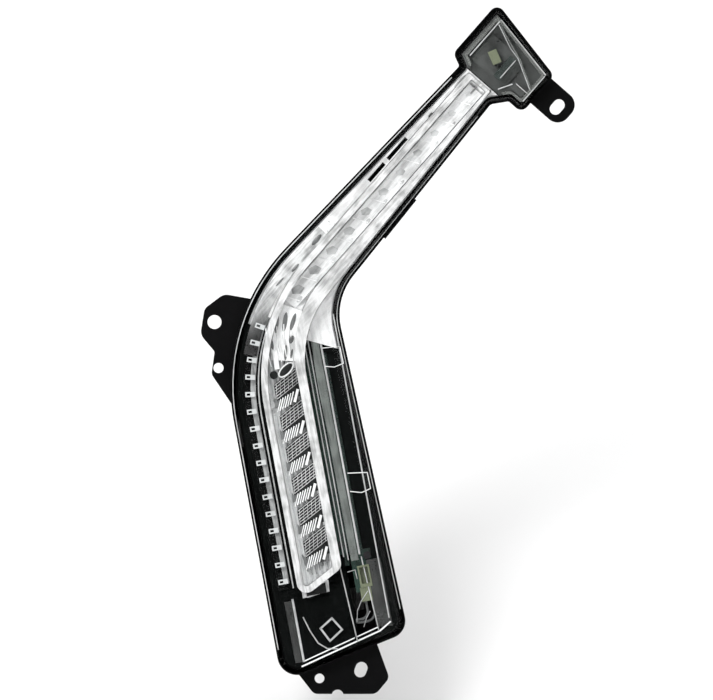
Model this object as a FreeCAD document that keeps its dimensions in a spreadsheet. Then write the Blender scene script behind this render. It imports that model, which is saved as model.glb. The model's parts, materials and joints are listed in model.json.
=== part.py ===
import FreeCAD, Part
import math
import os
import Sketcher

# Daytime running light for a car bumper: a tilted leg, a knee and a slimmer arm that
# ends in a small head. Millimetres, +Z up, the clear face looks along -Y.
# The origin is on the axis of the main bracket hole, in the plane of the bracket's
# rear face. "Level" always means the distance in front of that plane, along -Y.

Vector = FreeCAD.Vector
doc = FreeCAD.newDocument("running_light")
sheet = doc.addObject("Spreadsheet::Sheet", "sizes")

# Each row: name, value. Lengths in millimetres, angles in degrees.
sizes = [
    # Knee point, from the main bracket hole
    ("knee_x", 30.5),
    ("knee_z", 4.6),
    # Leg: from the knee point down to the foot
    ("leg_length", 172.7),
    ("leg_width", 60.8),
    ("leg_tilt", 11.46),
    ("leg_taper", 1.0),
    ("foot_tilt", 22.0),
    ("foot_left_radius", 10.0),
    ("foot_right_radius", 9.0),
    ("knee_outer_radius", 100.0),
    ("knee_inner_radius", 31.0),
    # Arm: from the knee point up to the head
    ("arm_length", 156.3),
    ("arm_width", 37.6),
    ("arm_tilt", 48.8),
    ("arm_taper", 2.5),
    ("flare_turn", 39.6),
    ("flare_offset", 18.1),
    ("flare_radius", 3.0),
    ("notch_radius", 1.5),
    # Head
    ("head_length", 29.8),
    ("head_right_reach", 26.9),
    ("head_left_reach", 18.6),
    ("head_skew", 10.8),
    ("shoulder_turn", 24.4),
    ("shoulder_radius", 1.5),
    ("head_corner_radius", 4.0),
    ("least_radius", 0.8),
    # Housing tub and its rim, which holds the lens in a groove
    ("rim_level", 9.0),
    ("rim_height", 6.0),
    ("rim_overhang", 2.8),
    ("tub_depth", 10.0),
    ("tub_draft", 1.6),
    ("tub_wall", 2.2),
    ("tub_bevel", 1.5),
    ("rear_rib_height", 1.5),
    ("rear_rib_width", 1.6),
    ("rear_rib_edge_gap", 12.0),
    ("rear_rib_count", 3),
    ("leg_rib_start", 76.0),
    ("leg_rib_foot_gap", 46.7),
    ("arm_rib_start", 36.0),
    ("arm_rib_head_gap", 42.0),
    ("arm_rib_half", 6.5),
    ("ledge_level", 5.0),
    ("ledge_inset", 3.2),
    ("groove_inset", 0.9),
    ("groove_width", 2.0),
    ("groove_depth", 3.4),
    # Lens
    ("lens_height", 32.0),
    ("lens_wall", 2.0),
    ("lens_inset", 1.1),
    ("lens_draft", 4.2),
    ("lens_side_draft", 12.6),
    ("lens_steep_draft", 1.6),
    ("crown_radius", 2600.0),
    ("flange_inset", 0.25),
    ("flange_thickness", 1.6),
    ("tongue_play", 0.15),
    ("tongue_depth", 2.6),
    # Clearances between pieces that lie side by side
    ("part_gap", 0.3),
    ("rim_gap", 0.4),
    # Side ear with the main hole and the locating hole
    ("ear_thickness", 3.0),
    ("main_hole_diameter", 7.0),
    ("main_hole_margin", 2.5),
    ("ear_top_reach", 14.6),
    ("ear_corner_reach", 8.4),
    ("ear_lower_reach", 9.5),
    ("ear_waist_reach", 2.1),
    ("locating_hole_diameter", 5.0),
    ("locating_hole_x", 2.0),
    ("locating_hole_z", -23.0),
    # Foot ear with a round hole and a slot
    ("foot_hole_diameter", 4.8),
    ("foot_hole_drop", 11.06),
    ("foot_hole_offset", -11.55),
    ("foot_slot_drop", 10.49),
    ("foot_slot_offset", 9.6),
    ("foot_slot_width", 6.0),
    ("foot_slot_length", 7.8),
    ("foot_ear_drop", 12.2),
    ("foot_notch_diameter", 6.0),
    ("foot_notch_offset", -4.2),
    ("foot_notch_drop", 21.2),
    # Head ear with a slot
    ("head_slot_rise", 13.9),
    ("head_slot_offset", 38.2),
    ("head_slot_width", 5.8),
    ("head_slot_length", 8.4),
    ("head_ear_margin", 4.6),
    # Low ledge on the rim beside the arm, and clips on the lens flange
    ("rim_ledge_reach", 1.0),
    ("rim_ledge_start", 64.0),
    ("rim_ledge_head_gap", 67.5),
    ("lens_clip_reach", 3.2),
    ("lens_clip_root", 1.5),
    ("lens_clip_length", 14.0),
    ("lower_clip_start", 43.0),
    ("upper_clip_head_gap", 56.3),
    # Light channel: a band that follows leg, knee and arm
    ("band_foot_gap", 51.8),
    ("band_end_tilt", 38.0),
    ("band_left", 14.2),
    ("band_right", 9.5),
    ("band_head_gap", 2.3),
    ("band_arm_left", 6.4),
    ("band_arm_right", 6.4),
    ("band_arm_inset", 4.3),
    ("band_knee_left", 88.0),
    ("band_knee_right", 50.0),
    ("band_end_radius", 5.0),
    ("rail_width", 3.2),
    ("right_rail_width", 4.5),
    ("rail_drop", 12.0),
    ("optic_tab_level", 9.8),
    ("optic_tab_thickness", 1.4),
    ("optic_tab_left", 12.4),
    ("optic_tab_right", 1.3),
    ("optic_tab_foot_gap", 29.8),
    ("optic_tab_left_length", 4.3),
    ("optic_tab_right_length", 8.7),
    # Split between the dark lower trim and the bright upper moulding
    ("split_drop", 26.0),
    ("split_reach", 9.2),
    ("head_joint", 1.3),
    # Leg cells
    ("cell_count", 6),
    ("cell_start", 34.2),
    ("cell_foot_gap", 42.5),
    ("cell_low", 8.6),
    ("cell_high", 13.4),
    ("cell_lean", 25.0),
    ("cell_hatches", 5),
    ("eye_offset", -0.5),
    ("eye_station", 28.6),
    ("eye_turn", 35.0),
    ("eye_width", 3.2),
    ("eye_length", 7.0),
    ("eye_depth", 3.0),
    ("cell_hatch_share", 0.58),
    ("cell_hatch_height", 0.8),
    ("flute_pitch", 2.9),
    ("flute_count", 5),
    ("flute_depth", 3.6),
    # Arm cells
    ("arm_cell_count", 11),
    ("arm_cell_start", 9.3),
    ("arm_cell_head_gap", 3.9),
    ("arm_cell_low", 8.0),
    ("arm_cell_high", 11.5),
    ("arm_cell_left", 3.3),
    ("arm_cell_right", 7.8),
    # Leg board on its finned plate
    ("board_thickness", 1.6),
    ("plate_thickness", 1.5),
    ("plate_level", 1.0),
    ("board_left", 14.0),
    ("board_right", 13.6),
    ("board_start", 26.0),
    ("board_foot_gap", 41.7),
    ("fin_height", 5.5),
    ("fin_thickness", 1.2),
    ("fin_pitch", 4.2),
    ("fin_count", 6),
    # Light-emitting diodes
    ("led_width", 3.0),
    ("led_length", 2.8),
    ("led_height", 0.8),
    ("led_window", 4.4),
    # Arm board and moulding
    ("arm_board_level", 2.2),
    ("arm_board_left", 5.2),
    ("arm_board_right", 5.8),
    ("arm_board_start", 11.0),
    ("arm_board_head_gap", 3.8),
    ("tray_floor", 1.4),
    ("plateau_level", 12.0),
    ("tray_slot_offset", -8.3),
    ("tray_slot_width", 2.0),
    ("lower_slot_start", 36.4),
    ("lower_slot_length", 8.5),
    ("middle_slot_head_gap", 75.9),
    ("middle_slot_length", 11.6),
    ("upper_slot_head_gap", 61.5),
    ("upper_slot_length", 14.0),
    # Posts and screws of the boards
    ("post_width", 4.6),
    ("pilot_depth", 6.0),
    ("screw_width", 2.0),
    ("screw_play", 0.1),
    ("screw_head_width", 3.8),
    ("screw_head_height", 1.0),
    ("screw_length", 7.0),
    ("leg_post_offset", 11.4),
    ("leg_post_first", 40.0),
    ("leg_post_foot_gap", 52.7),
    ("arm_post_first", 35.3),
    ("arm_post_head_gap", 16.9),
    ("driver_post_gap", 7.3),
    ("driver_post_first", 38.0),
    ("driver_post_foot_gap", 45.2),
    # Lower trim
    ("trim_level", 9.6),
    ("trim_thickness", 1.6),
    ("trim_skirt", 1.6),
    ("trim_rib_height", 1.2),
    ("trim_rib_width", 1.2),
    ("panel_left", 9.0),
    ("panel_right_gap", 9.0),
    ("panel_start", 24.0),
    ("panel_foot_gap", 47.7),
    ("window_left", 11.5),
    ("window_right_gap", 5.4),
    ("window_foot_gap", 7.7),
    ("mark_size", 7.6),
    ("mark_offset", -1.5),
    ("mark_foot_gap", 12.4),
    # Clear toothed strip beside the outer edge of the leg
    ("strip_inset", 6.5),
    ("strip_width", 6.5),
    ("strip_thickness", 1.6),
    ("strip_foot_gap", 35.7),
    ("strip_bend_turn", 33.0),
    ("tooth_foot_gap", 39.7),
    ("tooth_bend_gap", 5.25),
    ("leg_tooth_count", 10),
    ("bend_tooth_count", 6),
    ("tooth_length", 2.5),
    ("tooth_height", 2.6),
    ("tooth_margin", 0.8),
    ("tooth_wall", 0.7),
    ("tooth_recess_depth", 1.2),
    # Clear cover over the driver board, with clip tabs
    ("cover_gap", 0.4),
    ("cover_left_gap", 1.2),
    ("cover_thickness", 1.0),
    ("cover_level", 9.8),
    ("cover_wall", 1.0),
    ("tab_length", 10.5),
    ("tab_first", 30.0),
    ("tab_foot_gap", 81.9),
    ("tab_level", 7.6),
    # Driver board, its parts and its plug
    ("driver_level", 4.4),
    ("driver_left_gap", 15.9),
    ("driver_right_gap", 5.4),
    ("driver_start", 24.0),
    ("driver_foot_gap", 27.7),
    ("chip_gap", 13.2),
    ("chip_width", 3.2),
    ("chip_length", 1.8),
    ("chip_height", 1.1),
    ("chip_count", 9),
    ("chip_end_gap", 16.0),
    ("coil_size", 4.8),
    ("coil_height", 2.2),
    ("header_left_gap", 13.4),
    ("header_right_gap", 7.4),
    ("header_far_gap", 40.7),
    ("header_near_gap", 29.7),
    ("header_height", 4.6),
    ("header_wall", 0.9),
    ("plug_length", 7.0),
    ("plug_height", 3.6),
    ("plug_margin", 0.6),
    ("wire_diameter", 1.2),
    # Rear socket with its terminal pins
    ("socket_offset", 6.0),
    ("socket_foot_gap", 24.7),
    ("socket_hole_width", 22.0),
    ("socket_hole_height", 12.0),
    ("socket_fit", 0.3),
    ("socket_flange_margin", 4.0),
    ("socket_flange_thickness", 2.0),
    ("socket_seal_thickness", 1.0),
    ("socket_neck_length", 4.2),
    ("socket_shroud_length", 14.0),
    ("socket_shroud_wall", 1.6),
    ("socket_cavity_width", 20.8),
    ("socket_cavity_height", 10.8),
    ("socket_web", 4.5),
    ("socket_hook", 0.8),
    ("pin_width", 2.8),
    ("pin_thickness", 0.8),
    ("pin_pitch", 5.0),
    ("pin_front_level", -2.0),
    ("pin_rear_level", -21.0),
    # Vent
    ("vent_offset", -10.0),
    ("vent_station", 62.0),
    ("vent_nipple_diameter", 6.0),
    ("vent_bore", 3.6),
    ("vent_nipple_length", 3.0),
    ("vent_cap_diameter", 10.0),
    ("vent_cap_top", 1.5),
    ("vent_cap_skirt", 2.0),
    # Head
    ("head_gap", 0.5),
    ("head_wall_top", 9.0),
    ("head_wall_inset", 5.0),
    ("head_left_wall_inset", 6.0),
    ("head_frame_inset", 3.7),
    ("head_frame_left_inset", 4.6),
    ("head_frame_top", 14.0),
    ("head_frame_rise", 0.7),
    ("head_bar_level", 9.5),
    ("head_bar_height", 1.5),
    ("head_bar_width", 0.9),
    ("head_bar_left_rise", 26.4),
    ("head_bar_middle", 8.7),
    ("head_bar_middle_rise", 18.8),
    ("head_bar_right_rise", 11.4),
    ("head_board_left", -10.0),
    ("head_board_right", 12.0),
    ("head_board_low", 3.7),
    ("head_board_high", 20.2),
    ("head_block_left", 14.6),
    ("head_block_right", 21.4),
    ("head_block_low", 5.5),
    ("head_block_high", 9.7),
    ("head_block_top", 12.0),
    ("head_plug_offset", -1.8),
    ("head_plug_rise", 12.1),
    ("head_plug_width", 7.0),
    ("head_plug_length", 4.5),
    ("head_plug_height", 5.0),
    ("head_plug_turn", 25.0),
    ("prism_left", 3.7),
    ("prism_right", 7.7),
    ("prism_low", 4.7),
    ("prism_high", 17.7),
    ("prism_height", 4.4),
]
for row, (name, value) in enumerate(sizes, 1):
    sheet.set("A%d" % row, name)
    sheet.set("B%d" % row, str(value))
    sheet.setAlias("B%d" % row, name)
doc.recompute()


def number(expression):
    """Value of an expression that names cells of the sheet."""
    return float(sheet.evalExpression(str(expression)))


def new_body(name):
    body = doc.addObject("PartDesign::Body", name)
    body.Label = name
    return body


def new_sketch(body, name, level="0", plane="XZ_Plane"):
    """Sketch on an origin plane of its body, raised to a level along the plane's normal."""
    sketch = body.newObject("Sketcher::SketchObject", name)
    base = [item for item in body.Origin.OriginFeatures if item.Role == plane][0]
    sketch.AttachmentSupport = [(base, "")]
    sketch.MapMode = "FlatFace"
    sketch.setExpression("AttachmentOffset.Base.z", str(level))
    return sketch


class Rules:
    """Constraints gathered for one sketch and added in one go."""

    def __init__(self, sketch):
        self.sketch = sketch
        self.constraints = []
        self.followed = []

    def join(self, kind, *items):
        self.constraints.append(Sketcher.Constraint(kind, *items))

    def drive(self, expression, kind, *items):
        """A constraint whose value follows an expression."""
        value = number(expression)
        if kind == "Angle":
            value = math.radians(value)
        self.followed.append((len(self.constraints), str(expression)))
        self.constraints.append(Sketcher.Constraint(kind, *items, value))

    def place(self, item, spot, x, z):
        self.drive(x, "DistanceX", -1, 1, item, spot)
        self.drive(z, "DistanceY", -1, 1, item, spot)

    def apply(self):
        first = self.sketch.ConstraintCount
        self.sketch.addConstraint(self.constraints)
        for index, expression in self.followed:
            self.sketch.setExpression("Constraints[%d]" % (first + index), expression)


def trace(sketch, anchor, sides, radii):
    """Closed outline of straight sides joined by tangent arcs, drawn anticlockwise.

    A side is (direction, reach, facing): its direction angle, its distance from the
    anchor, and 1 if the anchor is on its inner side or -1 if on its outer side.
    radii holds the radius of the corner where each side starts.
    """
    rules = Rules(sketch)
    ax, az = number(anchor[0]), number(anchor[1])
    point = sketch.addGeometry(Part.Point(Vector(ax, az, 0)), True)
    rules.place(point, 1, *anchor)
    lines = []
    for direction, reach, facing in sides:
        turn = math.radians(number(direction))
        offset = number(reach) * facing
        lines.append((ax + math.sin(turn) * offset, az - math.cos(turn) * offset, turn))
    count = len(lines)

    def corner(before, after):
        x1, z1, t1 = before
        x2, z2, t2 = after
        along = ((x2 - x1) * math.sin(t2) - (z2 - z1) * math.cos(t2)) / math.sin(t2 - t1)
        return x1 + math.cos(t1) * along, z1 + math.sin(t1) * along

    corners = [corner(lines[i - 1], lines[i]) for i in range(count)]
    turns = [(lines[i][2] - lines[i - 1][2] + math.pi) % (2 * math.pi) - math.pi for i in range(count)]
    radius = [number(value) for value in radii]
    cuts = [radius[i] * math.tan(abs(turns[i]) / 2) for i in range(count)]

    line_ids, starts, ends = [], [], []
    for i in range(count):
        after = (i + 1) % count
        dx, dz = math.cos(lines[i][2]), math.sin(lines[i][2])
        start = Vector(corners[i][0] + dx * cuts[i], corners[i][1] + dz * cuts[i], 0)
        end = Vector(corners[after][0] - dx * cuts[after], corners[after][1] - dz * cuts[after], 0)
        starts.append(start)
        ends.append(end)
        line_ids.append(sketch.addGeometry(Part.LineSegment(start, end), False))
    for i in range(count):
        heading = lines[i - 1][2]
        side = 1 if turns[i] > 0 else -1
        centre = ends[i - 1] + Vector(-math.sin(heading), math.cos(heading), 0) * (radius[i] * side)
        first, last = (ends[i - 1], starts[i]) if side > 0 else (starts[i], ends[i - 1])
        begin = math.atan2(first.y - centre.y, first.x - centre.x)
        finish = math.atan2(last.y - centre.y, last.x - centre.x)
        circle = Part.Circle(centre, Vector(0, 0, 1), radius[i])
        arc = sketch.addGeometry(Part.ArcOfCircle(circle, begin, finish), False)
        joins = (1, 2) if side > 0 else (2, 1)
        rules.join("Tangent", line_ids[i - 1], 2, arc, joins[0])
        rules.join("Tangent", arc, joins[1], line_ids[i], 1)
        rules.drive(radii[i], "Radius", arc)
    for line, (direction, reach, facing) in zip(line_ids, sides):
        rules.drive(direction, "Angle", line)
        rules.drive(reach, "Distance", point, 1, line)
    rules.apply()


knee = ("sizes.knee_x", "sizes.knee_z")
leg_left_direction = "-90 + sizes.leg_tilt - sizes.leg_taper"
leg_right_direction = "90 + sizes.leg_tilt + sizes.leg_taper"
arm_right_direction = "sizes.arm_tilt + sizes.arm_taper"
arm_left_direction = "sizes.arm_tilt - sizes.arm_taper - 180"

# Sides of the lamp's own outline, anticlockwise from the foot:
# name, direction, distance from the knee point, facing, corner radius, corner kind
lamp_sides = [
    ("foot", "sizes.foot_tilt", "sizes.leg_length", 1, "sizes.foot_left_radius", 1),
    ("leg_right", leg_right_direction, "sizes.leg_width / 2", 1, "sizes.foot_right_radius", 1),
    ("arm_right", arm_right_direction, "sizes.arm_width / 2", 1, "sizes.knee_inner_radius", -1),
    ("flare", "sizes.arm_tilt - sizes.flare_turn",
     "sizes.arm_length * sin(sizes.flare_turn) - sizes.flare_offset * cos(sizes.flare_turn)",
     -1, "sizes.flare_radius", 0),
    ("head_base", "sizes.arm_tilt - 90", "sizes.arm_length", -1, "sizes.notch_radius", 0),
    ("head_right", "sizes.arm_tilt", "sizes.head_right_reach", 1, "sizes.head_corner_radius", 1),
    ("head_top", "sizes.arm_tilt + 90 - sizes.head_skew",
     "(sizes.arm_length + sizes.head_length) * cos(sizes.head_skew)",
     1, "sizes.head_corner_radius", 1),
    ("head_left", "sizes.arm_tilt - 180", "sizes.head_left_reach", 1, "sizes.head_corner_radius", 1),
    ("shoulder", "sizes.arm_tilt - 90 - sizes.shoulder_turn",
     "sizes.arm_length * cos(sizes.shoulder_turn) - sizes.head_left_reach * sin(sizes.shoulder_turn)",
     -1, "sizes.head_corner_radius", 1),
    ("arm_left", arm_left_direction, "sizes.arm_width / 2", 1, "sizes.shoulder_radius", 0),
    ("leg_left", leg_left_direction, "sizes.leg_width / 2", 1, "sizes.knee_outer_radius", 1),
]


def lamp_outline(sketch, inset="0", **own):
    """The lamp's outline moved inwards; own gives single sides an inset of their own."""
    sides, radii = [], []
    for name, direction, reach, facing, radius, kind in lamp_sides:
        amount = own.get(name, inset)
        sign = "-" if facing > 0 else "+"
        sides.append((direction, "%s %s (%s)" % (reach, sign, amount), facing))
        if kind > 0:
            radii.append("max(%s - (%s); sizes.least_radius)" % (radius, inset))
        elif kind < 0:
            radii.append("%s + (%s)" % (radius, inset))
        else:
            radii.append("%s + (%s) / 2" % (radius, inset))
    trace(sketch, knee, sides, radii)


def pad(body, name, sketch, length, back=False):
    feature = body.newObject("PartDesign::Pad", name)
    feature.Profile = sketch
    feature.Reversed = back
    feature.Length = number(length)
    feature.setExpression("Length", str(length))
    return feature


def pocket(body, name, sketch, length, forward=False):
    """Cuts away from the sketch's front; forward cuts towards its front."""
    feature = body.newObject("PartDesign::Pocket", name)
    feature.Profile = sketch
    feature.Reversed = forward
    feature.Length = number(length)
    feature.setExpression("Length", str(length))
    return feature


def loft(body, name, first, second, cut=False):
    kind = "PartDesign::SubtractiveLoft" if cut else "PartDesign::AdditiveLoft"
    feature = body.newObject(kind, name)
    feature.Profile = first
    feature.Sections = [second]
    feature.Ruled = True
    return feature


def crown_cut(body, name, drop):
    """Takes off all that stands above the lens's crowned face, lowered by drop."""
    sketch = new_sketch(body, name + "_profile", "0", "YZ_Plane")
    reach = 260.0
    radius = number("sizes.crown_radius - (%s)" % drop)
    centre = Vector(number("sizes.crown_radius - sizes.lens_height"), 0, 0)
    edge = centre.x - math.sqrt(radius ** 2 - reach ** 2)
    beyond = -90.0
    low, high = Vector(edge, -reach, 0), Vector(edge, reach, 0)
    half = math.asin(reach / radius)
    circle = Part.Circle(centre, Vector(0, 0, 1), radius)
    arc = sketch.addGeometry(Part.ArcOfCircle(circle, math.pi - half, math.pi + half), False)
    top = sketch.addGeometry(Part.LineSegment(high, Vector(beyond, reach, 0)), False)
    front = sketch.addGeometry(Part.LineSegment(Vector(beyond, reach, 0), Vector(beyond, -reach, 0)), False)
    base = sketch.addGeometry(Part.LineSegment(Vector(beyond, -reach, 0), low), False)
    rules = Rules(sketch)
    for first, first_end, second, second_end in ((arc, 1, top, 1), (top, 2, front, 1),
                                                 (front, 2, base, 1), (base, 2, arc, 2)):
        rules.join("Coincident", first, first_end, second, second_end)
    rules.join("Horizontal", top)
    rules.join("Horizontal", base)
    rules.join("Vertical", front)
    rules.join("PointOnObject", arc, 3, -1)
    rules.join("DistanceY", -1, 1, top, 1, reach)
    rules.join("DistanceX", front, 1, -1, 1, -beyond)
    rules.drive("sizes.crown_radius - (%s)" % drop, "Radius", arc)
    rules.drive("sizes.crown_radius - sizes.lens_height", "DistanceX", -1, 1, arc, 3)
    rules.apply()
    feature = pocket(body, name, sketch, "900")
    feature.Midplane = True
    return feature


def check(items):
    doc.recompute()
    for item in doc.Objects:
        if "Invalid" in item.State or "Error" in item.State:
            raise RuntimeError("%s failed: %s" % (item.Name, item.State))
    for item in items:
        if item.Shape.isNull() or not item.Shape.isValid():
            raise RuntimeError("%s has no valid shape" % item.Label)


def turned_sketch(body, name, plane, base, axis, angle):
    """Sketch whose plane is moved by three expressions and turned about one of its axes."""
    sketch = new_sketch(body, name, base[2], plane)
    place = Vector(*[number(value) for value in base])
    sketch.AttachmentOffset = FreeCAD.Placement(place, FreeCAD.Rotation(Vector(*axis), number(angle)))
    for letter, value in zip("xyz", base):
        sketch.setExpression("AttachmentOffset.Base." + letter, str(value))
    sketch.setExpression("AttachmentOffset.Rotation.Angle", angle)
    return sketch


# In a leg sketch x runs across the leg to the right and y runs up it, both from the knee point;
# in an arm sketch x runs across the arm to the right and y runs along it to the head.
path_tilt = "(sizes.leg_tilt - sizes.leg_taper)"


def leg_sketch(body, name, level):
    base = ("sizes.knee_x", "sizes.knee_z", level)
    return turned_sketch(body, name, "XZ_Plane", base, (0, 0, 1), path_tilt)


def arm_sketch(body, name, level):
    base = ("sizes.knee_x", "sizes.knee_z", level)
    return turned_sketch(body, name, "XZ_Plane", base, (0, 0, -1), "90 - sizes.arm_tilt")


def side_sketch(body, name, angle, axis=(-1, 0, 0)):
    """Plane through the knee point and the Y axis; its x is -level, its y runs up leg or arm."""
    base = ("0", "sizes.knee_z", "sizes.knee_x")
    return turned_sketch(body, name, "YZ_Plane", base, axis, angle)


def cross_sketch(body, name, angle, axis=(0, -1, 0)):
    """Plane square to leg or arm; its x runs across, its y is -level."""
    base = ("sizes.knee_x", "0", "sizes.knee_z")
    return turned_sketch(body, name, "XY_Plane", base, axis, angle)


def leg_place(station, offset):
    """X and Z of a point so far down the leg from the knee point, and so far to the right."""
    x = "sizes.knee_x + (%s) * sin(%s) + (%s) * cos(%s)" % (station, path_tilt, offset, path_tilt)
    z = "sizes.knee_z - (%s) * cos(%s) + (%s) * sin(%s)" % (station, path_tilt, offset, path_tilt)
    return x, z


def arm_place(station, offset):
    """X and Z of a point so far along the arm from the knee point, and so far to the right."""
    x = "sizes.knee_x + (%s) * cos(sizes.arm_tilt) + (%s) * sin(sizes.arm_tilt)" % (station, offset)
    z = "sizes.knee_z + (%s) * sin(sizes.arm_tilt) - (%s) * cos(sizes.arm_tilt)" % (station, offset)
    return x, z


def polygon(sketch, points):
    """Closed polygon whose corners follow pairs of expressions."""
    spots = [Vector(number(x), number(y), 0) for x, y in points]
    count = len(spots)
    lines = []
    for i in range(count):
        segment = Part.LineSegment(spots[i], spots[(i + 1) % count])
        lines.append(sketch.addGeometry(segment, False))
    rules = Rules(sketch)
    for i in range(count):
        rules.join("Coincident", lines[i], 2, lines[(i + 1) % count], 1)
    for line, (x, y) in zip(lines, points):
        rules.place(line, 1, x, y)
    rules.apply()


def rectangle(sketch, left, right, low, high):
    polygon(sketch, [(left, low), (right, low), (right, high), (left, high)])


def circle(sketch, x, z, diameter):
    centre = Vector(number(x), number(z), 0)
    round_id = sketch.addGeometry(Part.Circle(centre, Vector(0, 0, 1), number(diameter) / 2), False)
    rules = Rules(sketch)
    rules.place(round_id, 3, x, z)
    rules.drive(diameter, "Diameter", round_id)
    rules.apply()


def slot(sketch, x, z, angle, width, length):
    """Round-ended slot: its centre, the angle of its long axis, its width and overall length."""
    half = "((%s) - (%s)) / 2" % (length, width)
    ends = []
    for sign in ("+", "-"):
        ends.append(("(%s) %s %s * cos(%s)" % (x, sign, half, angle),
                     "(%s) %s %s * sin(%s)" % (z, sign, half, angle)))
    heading = math.radians(number(angle))
    radius = number(width) / 2
    arcs = []
    for end, start in zip(ends, (heading - math.pi / 2, heading + math.pi / 2)):
        centre = Vector(number(end[0]), number(end[1]), 0)
        bow = Part.ArcOfCircle(Part.Circle(centre, Vector(0, 0, 1), radius), start, start + math.pi)
        arcs.append(sketch.addGeometry(bow, False))
    spots = [sketch.getPoint(arcs[0], 2), sketch.getPoint(arcs[1], 1),
             sketch.getPoint(arcs[1], 2), sketch.getPoint(arcs[0], 1)]
    first = sketch.addGeometry(Part.LineSegment(spots[0], spots[1]), False)
    second = sketch.addGeometry(Part.LineSegment(spots[2], spots[3]), False)
    rules = Rules(sketch)
    for one, one_end, other, other_end in ((arcs[0], 2, first, 1), (first, 2, arcs[1], 1),
                                           (arcs[1], 2, second, 1), (second, 2, arcs[0], 1)):
        rules.join("Tangent", one, one_end, other, other_end)
    rules.drive("(%s) / 2" % width, "Radius", arcs[0])
    for arc, end in zip(arcs, ends):
        rules.place(arc, 3, *end)
    rules.apply()


band_foot = "(sizes.leg_length - sizes.band_foot_gap)"
band_head = "(sizes.arm_length - sizes.band_head_gap)"


def band_outline(sketch, shift="0", inner=False):
    """Outline of the light channel, outside its rails or inside them, moved outwards by shift."""
    left = "sizes.rail_width" if inner else "0"
    right = "sizes.right_rail_width" if inner else "0"
    arm_side = (("sizes.arm_tilt", "sizes.band_arm_right") if inner else
                (arm_right_direction, "sizes.arm_width / 2 - sizes.band_arm_inset"))
    rows = [
        ("sizes.band_end_tilt", "%s - %s" % (band_foot, left), "sizes.band_end_radius", 1),
        ("90 + " + path_tilt, "sizes.band_right - %s" % right, "sizes.band_end_radius", 1),
        (arm_side[0], arm_side[1], "sizes.band_knee_right + %s" % right, -1),
        ("sizes.arm_tilt + 90", "%s - %s / 2" % (band_head, left), "sizes.least_radius", 0),
        ("sizes.arm_tilt - 180", "sizes.band_arm_left - %s" % left, "sizes.least_radius", 0),
        ("-90 + " + path_tilt, "sizes.band_left - %s" % left, "sizes.band_knee_left - %s" % left, 1),
    ]
    sides, radii = [], []
    for direction, reach, radius, kind in rows:
        sides.append((direction, "%s + (%s)" % (reach, shift), 1))
        if kind == 0:
            radii.append(radius)
        elif kind < 0:
            radii.append("%s - (%s)" % (radius, shift))
        else:
            radii.append("max(%s + (%s) - %s; sizes.least_radius)" % (radius, shift, left)
                         if "end_radius" in radius else "%s + (%s)" % (radius, shift))
    trace(sketch, knee, sides, radii)


far = "260"


def half_plane(sketch, direction, reach, facing):
    """A large four-sided region to the left of a line, to cut away what lies there."""
    sides = [(direction, reach, facing)]
    for turn in ("90", "180", "270"):
        sides.append(("%s + %s" % (direction, turn), far, 1))
    trace(sketch, knee, sides, ["sizes.least_radius"] * 4)


split_direction = path_tilt + " - sizes.split_drop"


def cut_above_split(body, name, level, depth, gap="0"):
    sketch = new_sketch(body, name + "_profile", level)
    half_plane(sketch, split_direction, "sizes.split_reach + (%s)" % gap, 1)
    return pocket(body, name, sketch, depth)


def cut_below_split(body, name, level, depth, gap="0"):
    sketch = new_sketch(body, name + "_profile", level)
    half_plane(sketch, split_direction + " - 180", "sizes.split_reach - (%s)" % gap, -1)
    return pocket(body, name, sketch, depth)


def cut_past_station(body, name, level, depth, station):
    """Takes off what lies beyond a station of the arm."""
    sketch = new_sketch(body, name + "_profile", level)
    half_plane(sketch, "sizes.arm_tilt - 90", station, -1)
    return pocket(body, name, sketch, depth)


def cut_before_station(body, name, level, depth, station):
    """Takes off what lies before a station of the arm."""
    sketch = new_sketch(body, name + "_profile", level)
    half_plane(sketch, "sizes.arm_tilt + 90", station, 1)
    return pocket(body, name, sketch, depth)


def row_of(body, name, features, sketch, axis, count, pitch, back=False):
    """Repeats features along an axis of a sketch."""
    pattern = body.newObject("PartDesign::LinearPattern", name)
    pattern.Originals = features
    pattern.Direction = (sketch, [axis])
    pattern.Reversed = back
    pattern.Occurrences = int(number(count))
    pattern.setExpression("Occurrences", str(count))
    pattern.Length = (number(count) - 1) * number(pitch)
    pattern.setExpression("Length", "((%s) - 1) * (%s)" % (count, pitch))
    body.Tip = pattern
    return pattern


def both_ways(feature):
    feature.Midplane = True
    return feature


def from_foot(gap):
    """Leg station that lies a gap short of the foot."""
    return "(sizes.leg_length - sizes.%s)" % gap


def from_head(gap):
    """Arm station that lies a gap short of the head."""
    return "(sizes.arm_length - sizes.%s)" % gap


def past_head(rise):
    """Arm station that lies a rise beyond the start of the head."""
    return "(sizes.arm_length + sizes.%s)" % rise


def from_right(gap):
    """Offset across the leg that lies a gap short of its right side."""
    return "(sizes.leg_width / 2 - sizes.%s)" % gap


def arm_edge(station, beyond):
    """Offset of the arm's right edge at a station, moved outwards."""
    return ("((sizes.arm_width / 2 - (%s) * sin(sizes.arm_taper)) / cos(sizes.arm_taper) + (%s))"
            % (station, beyond))


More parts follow.
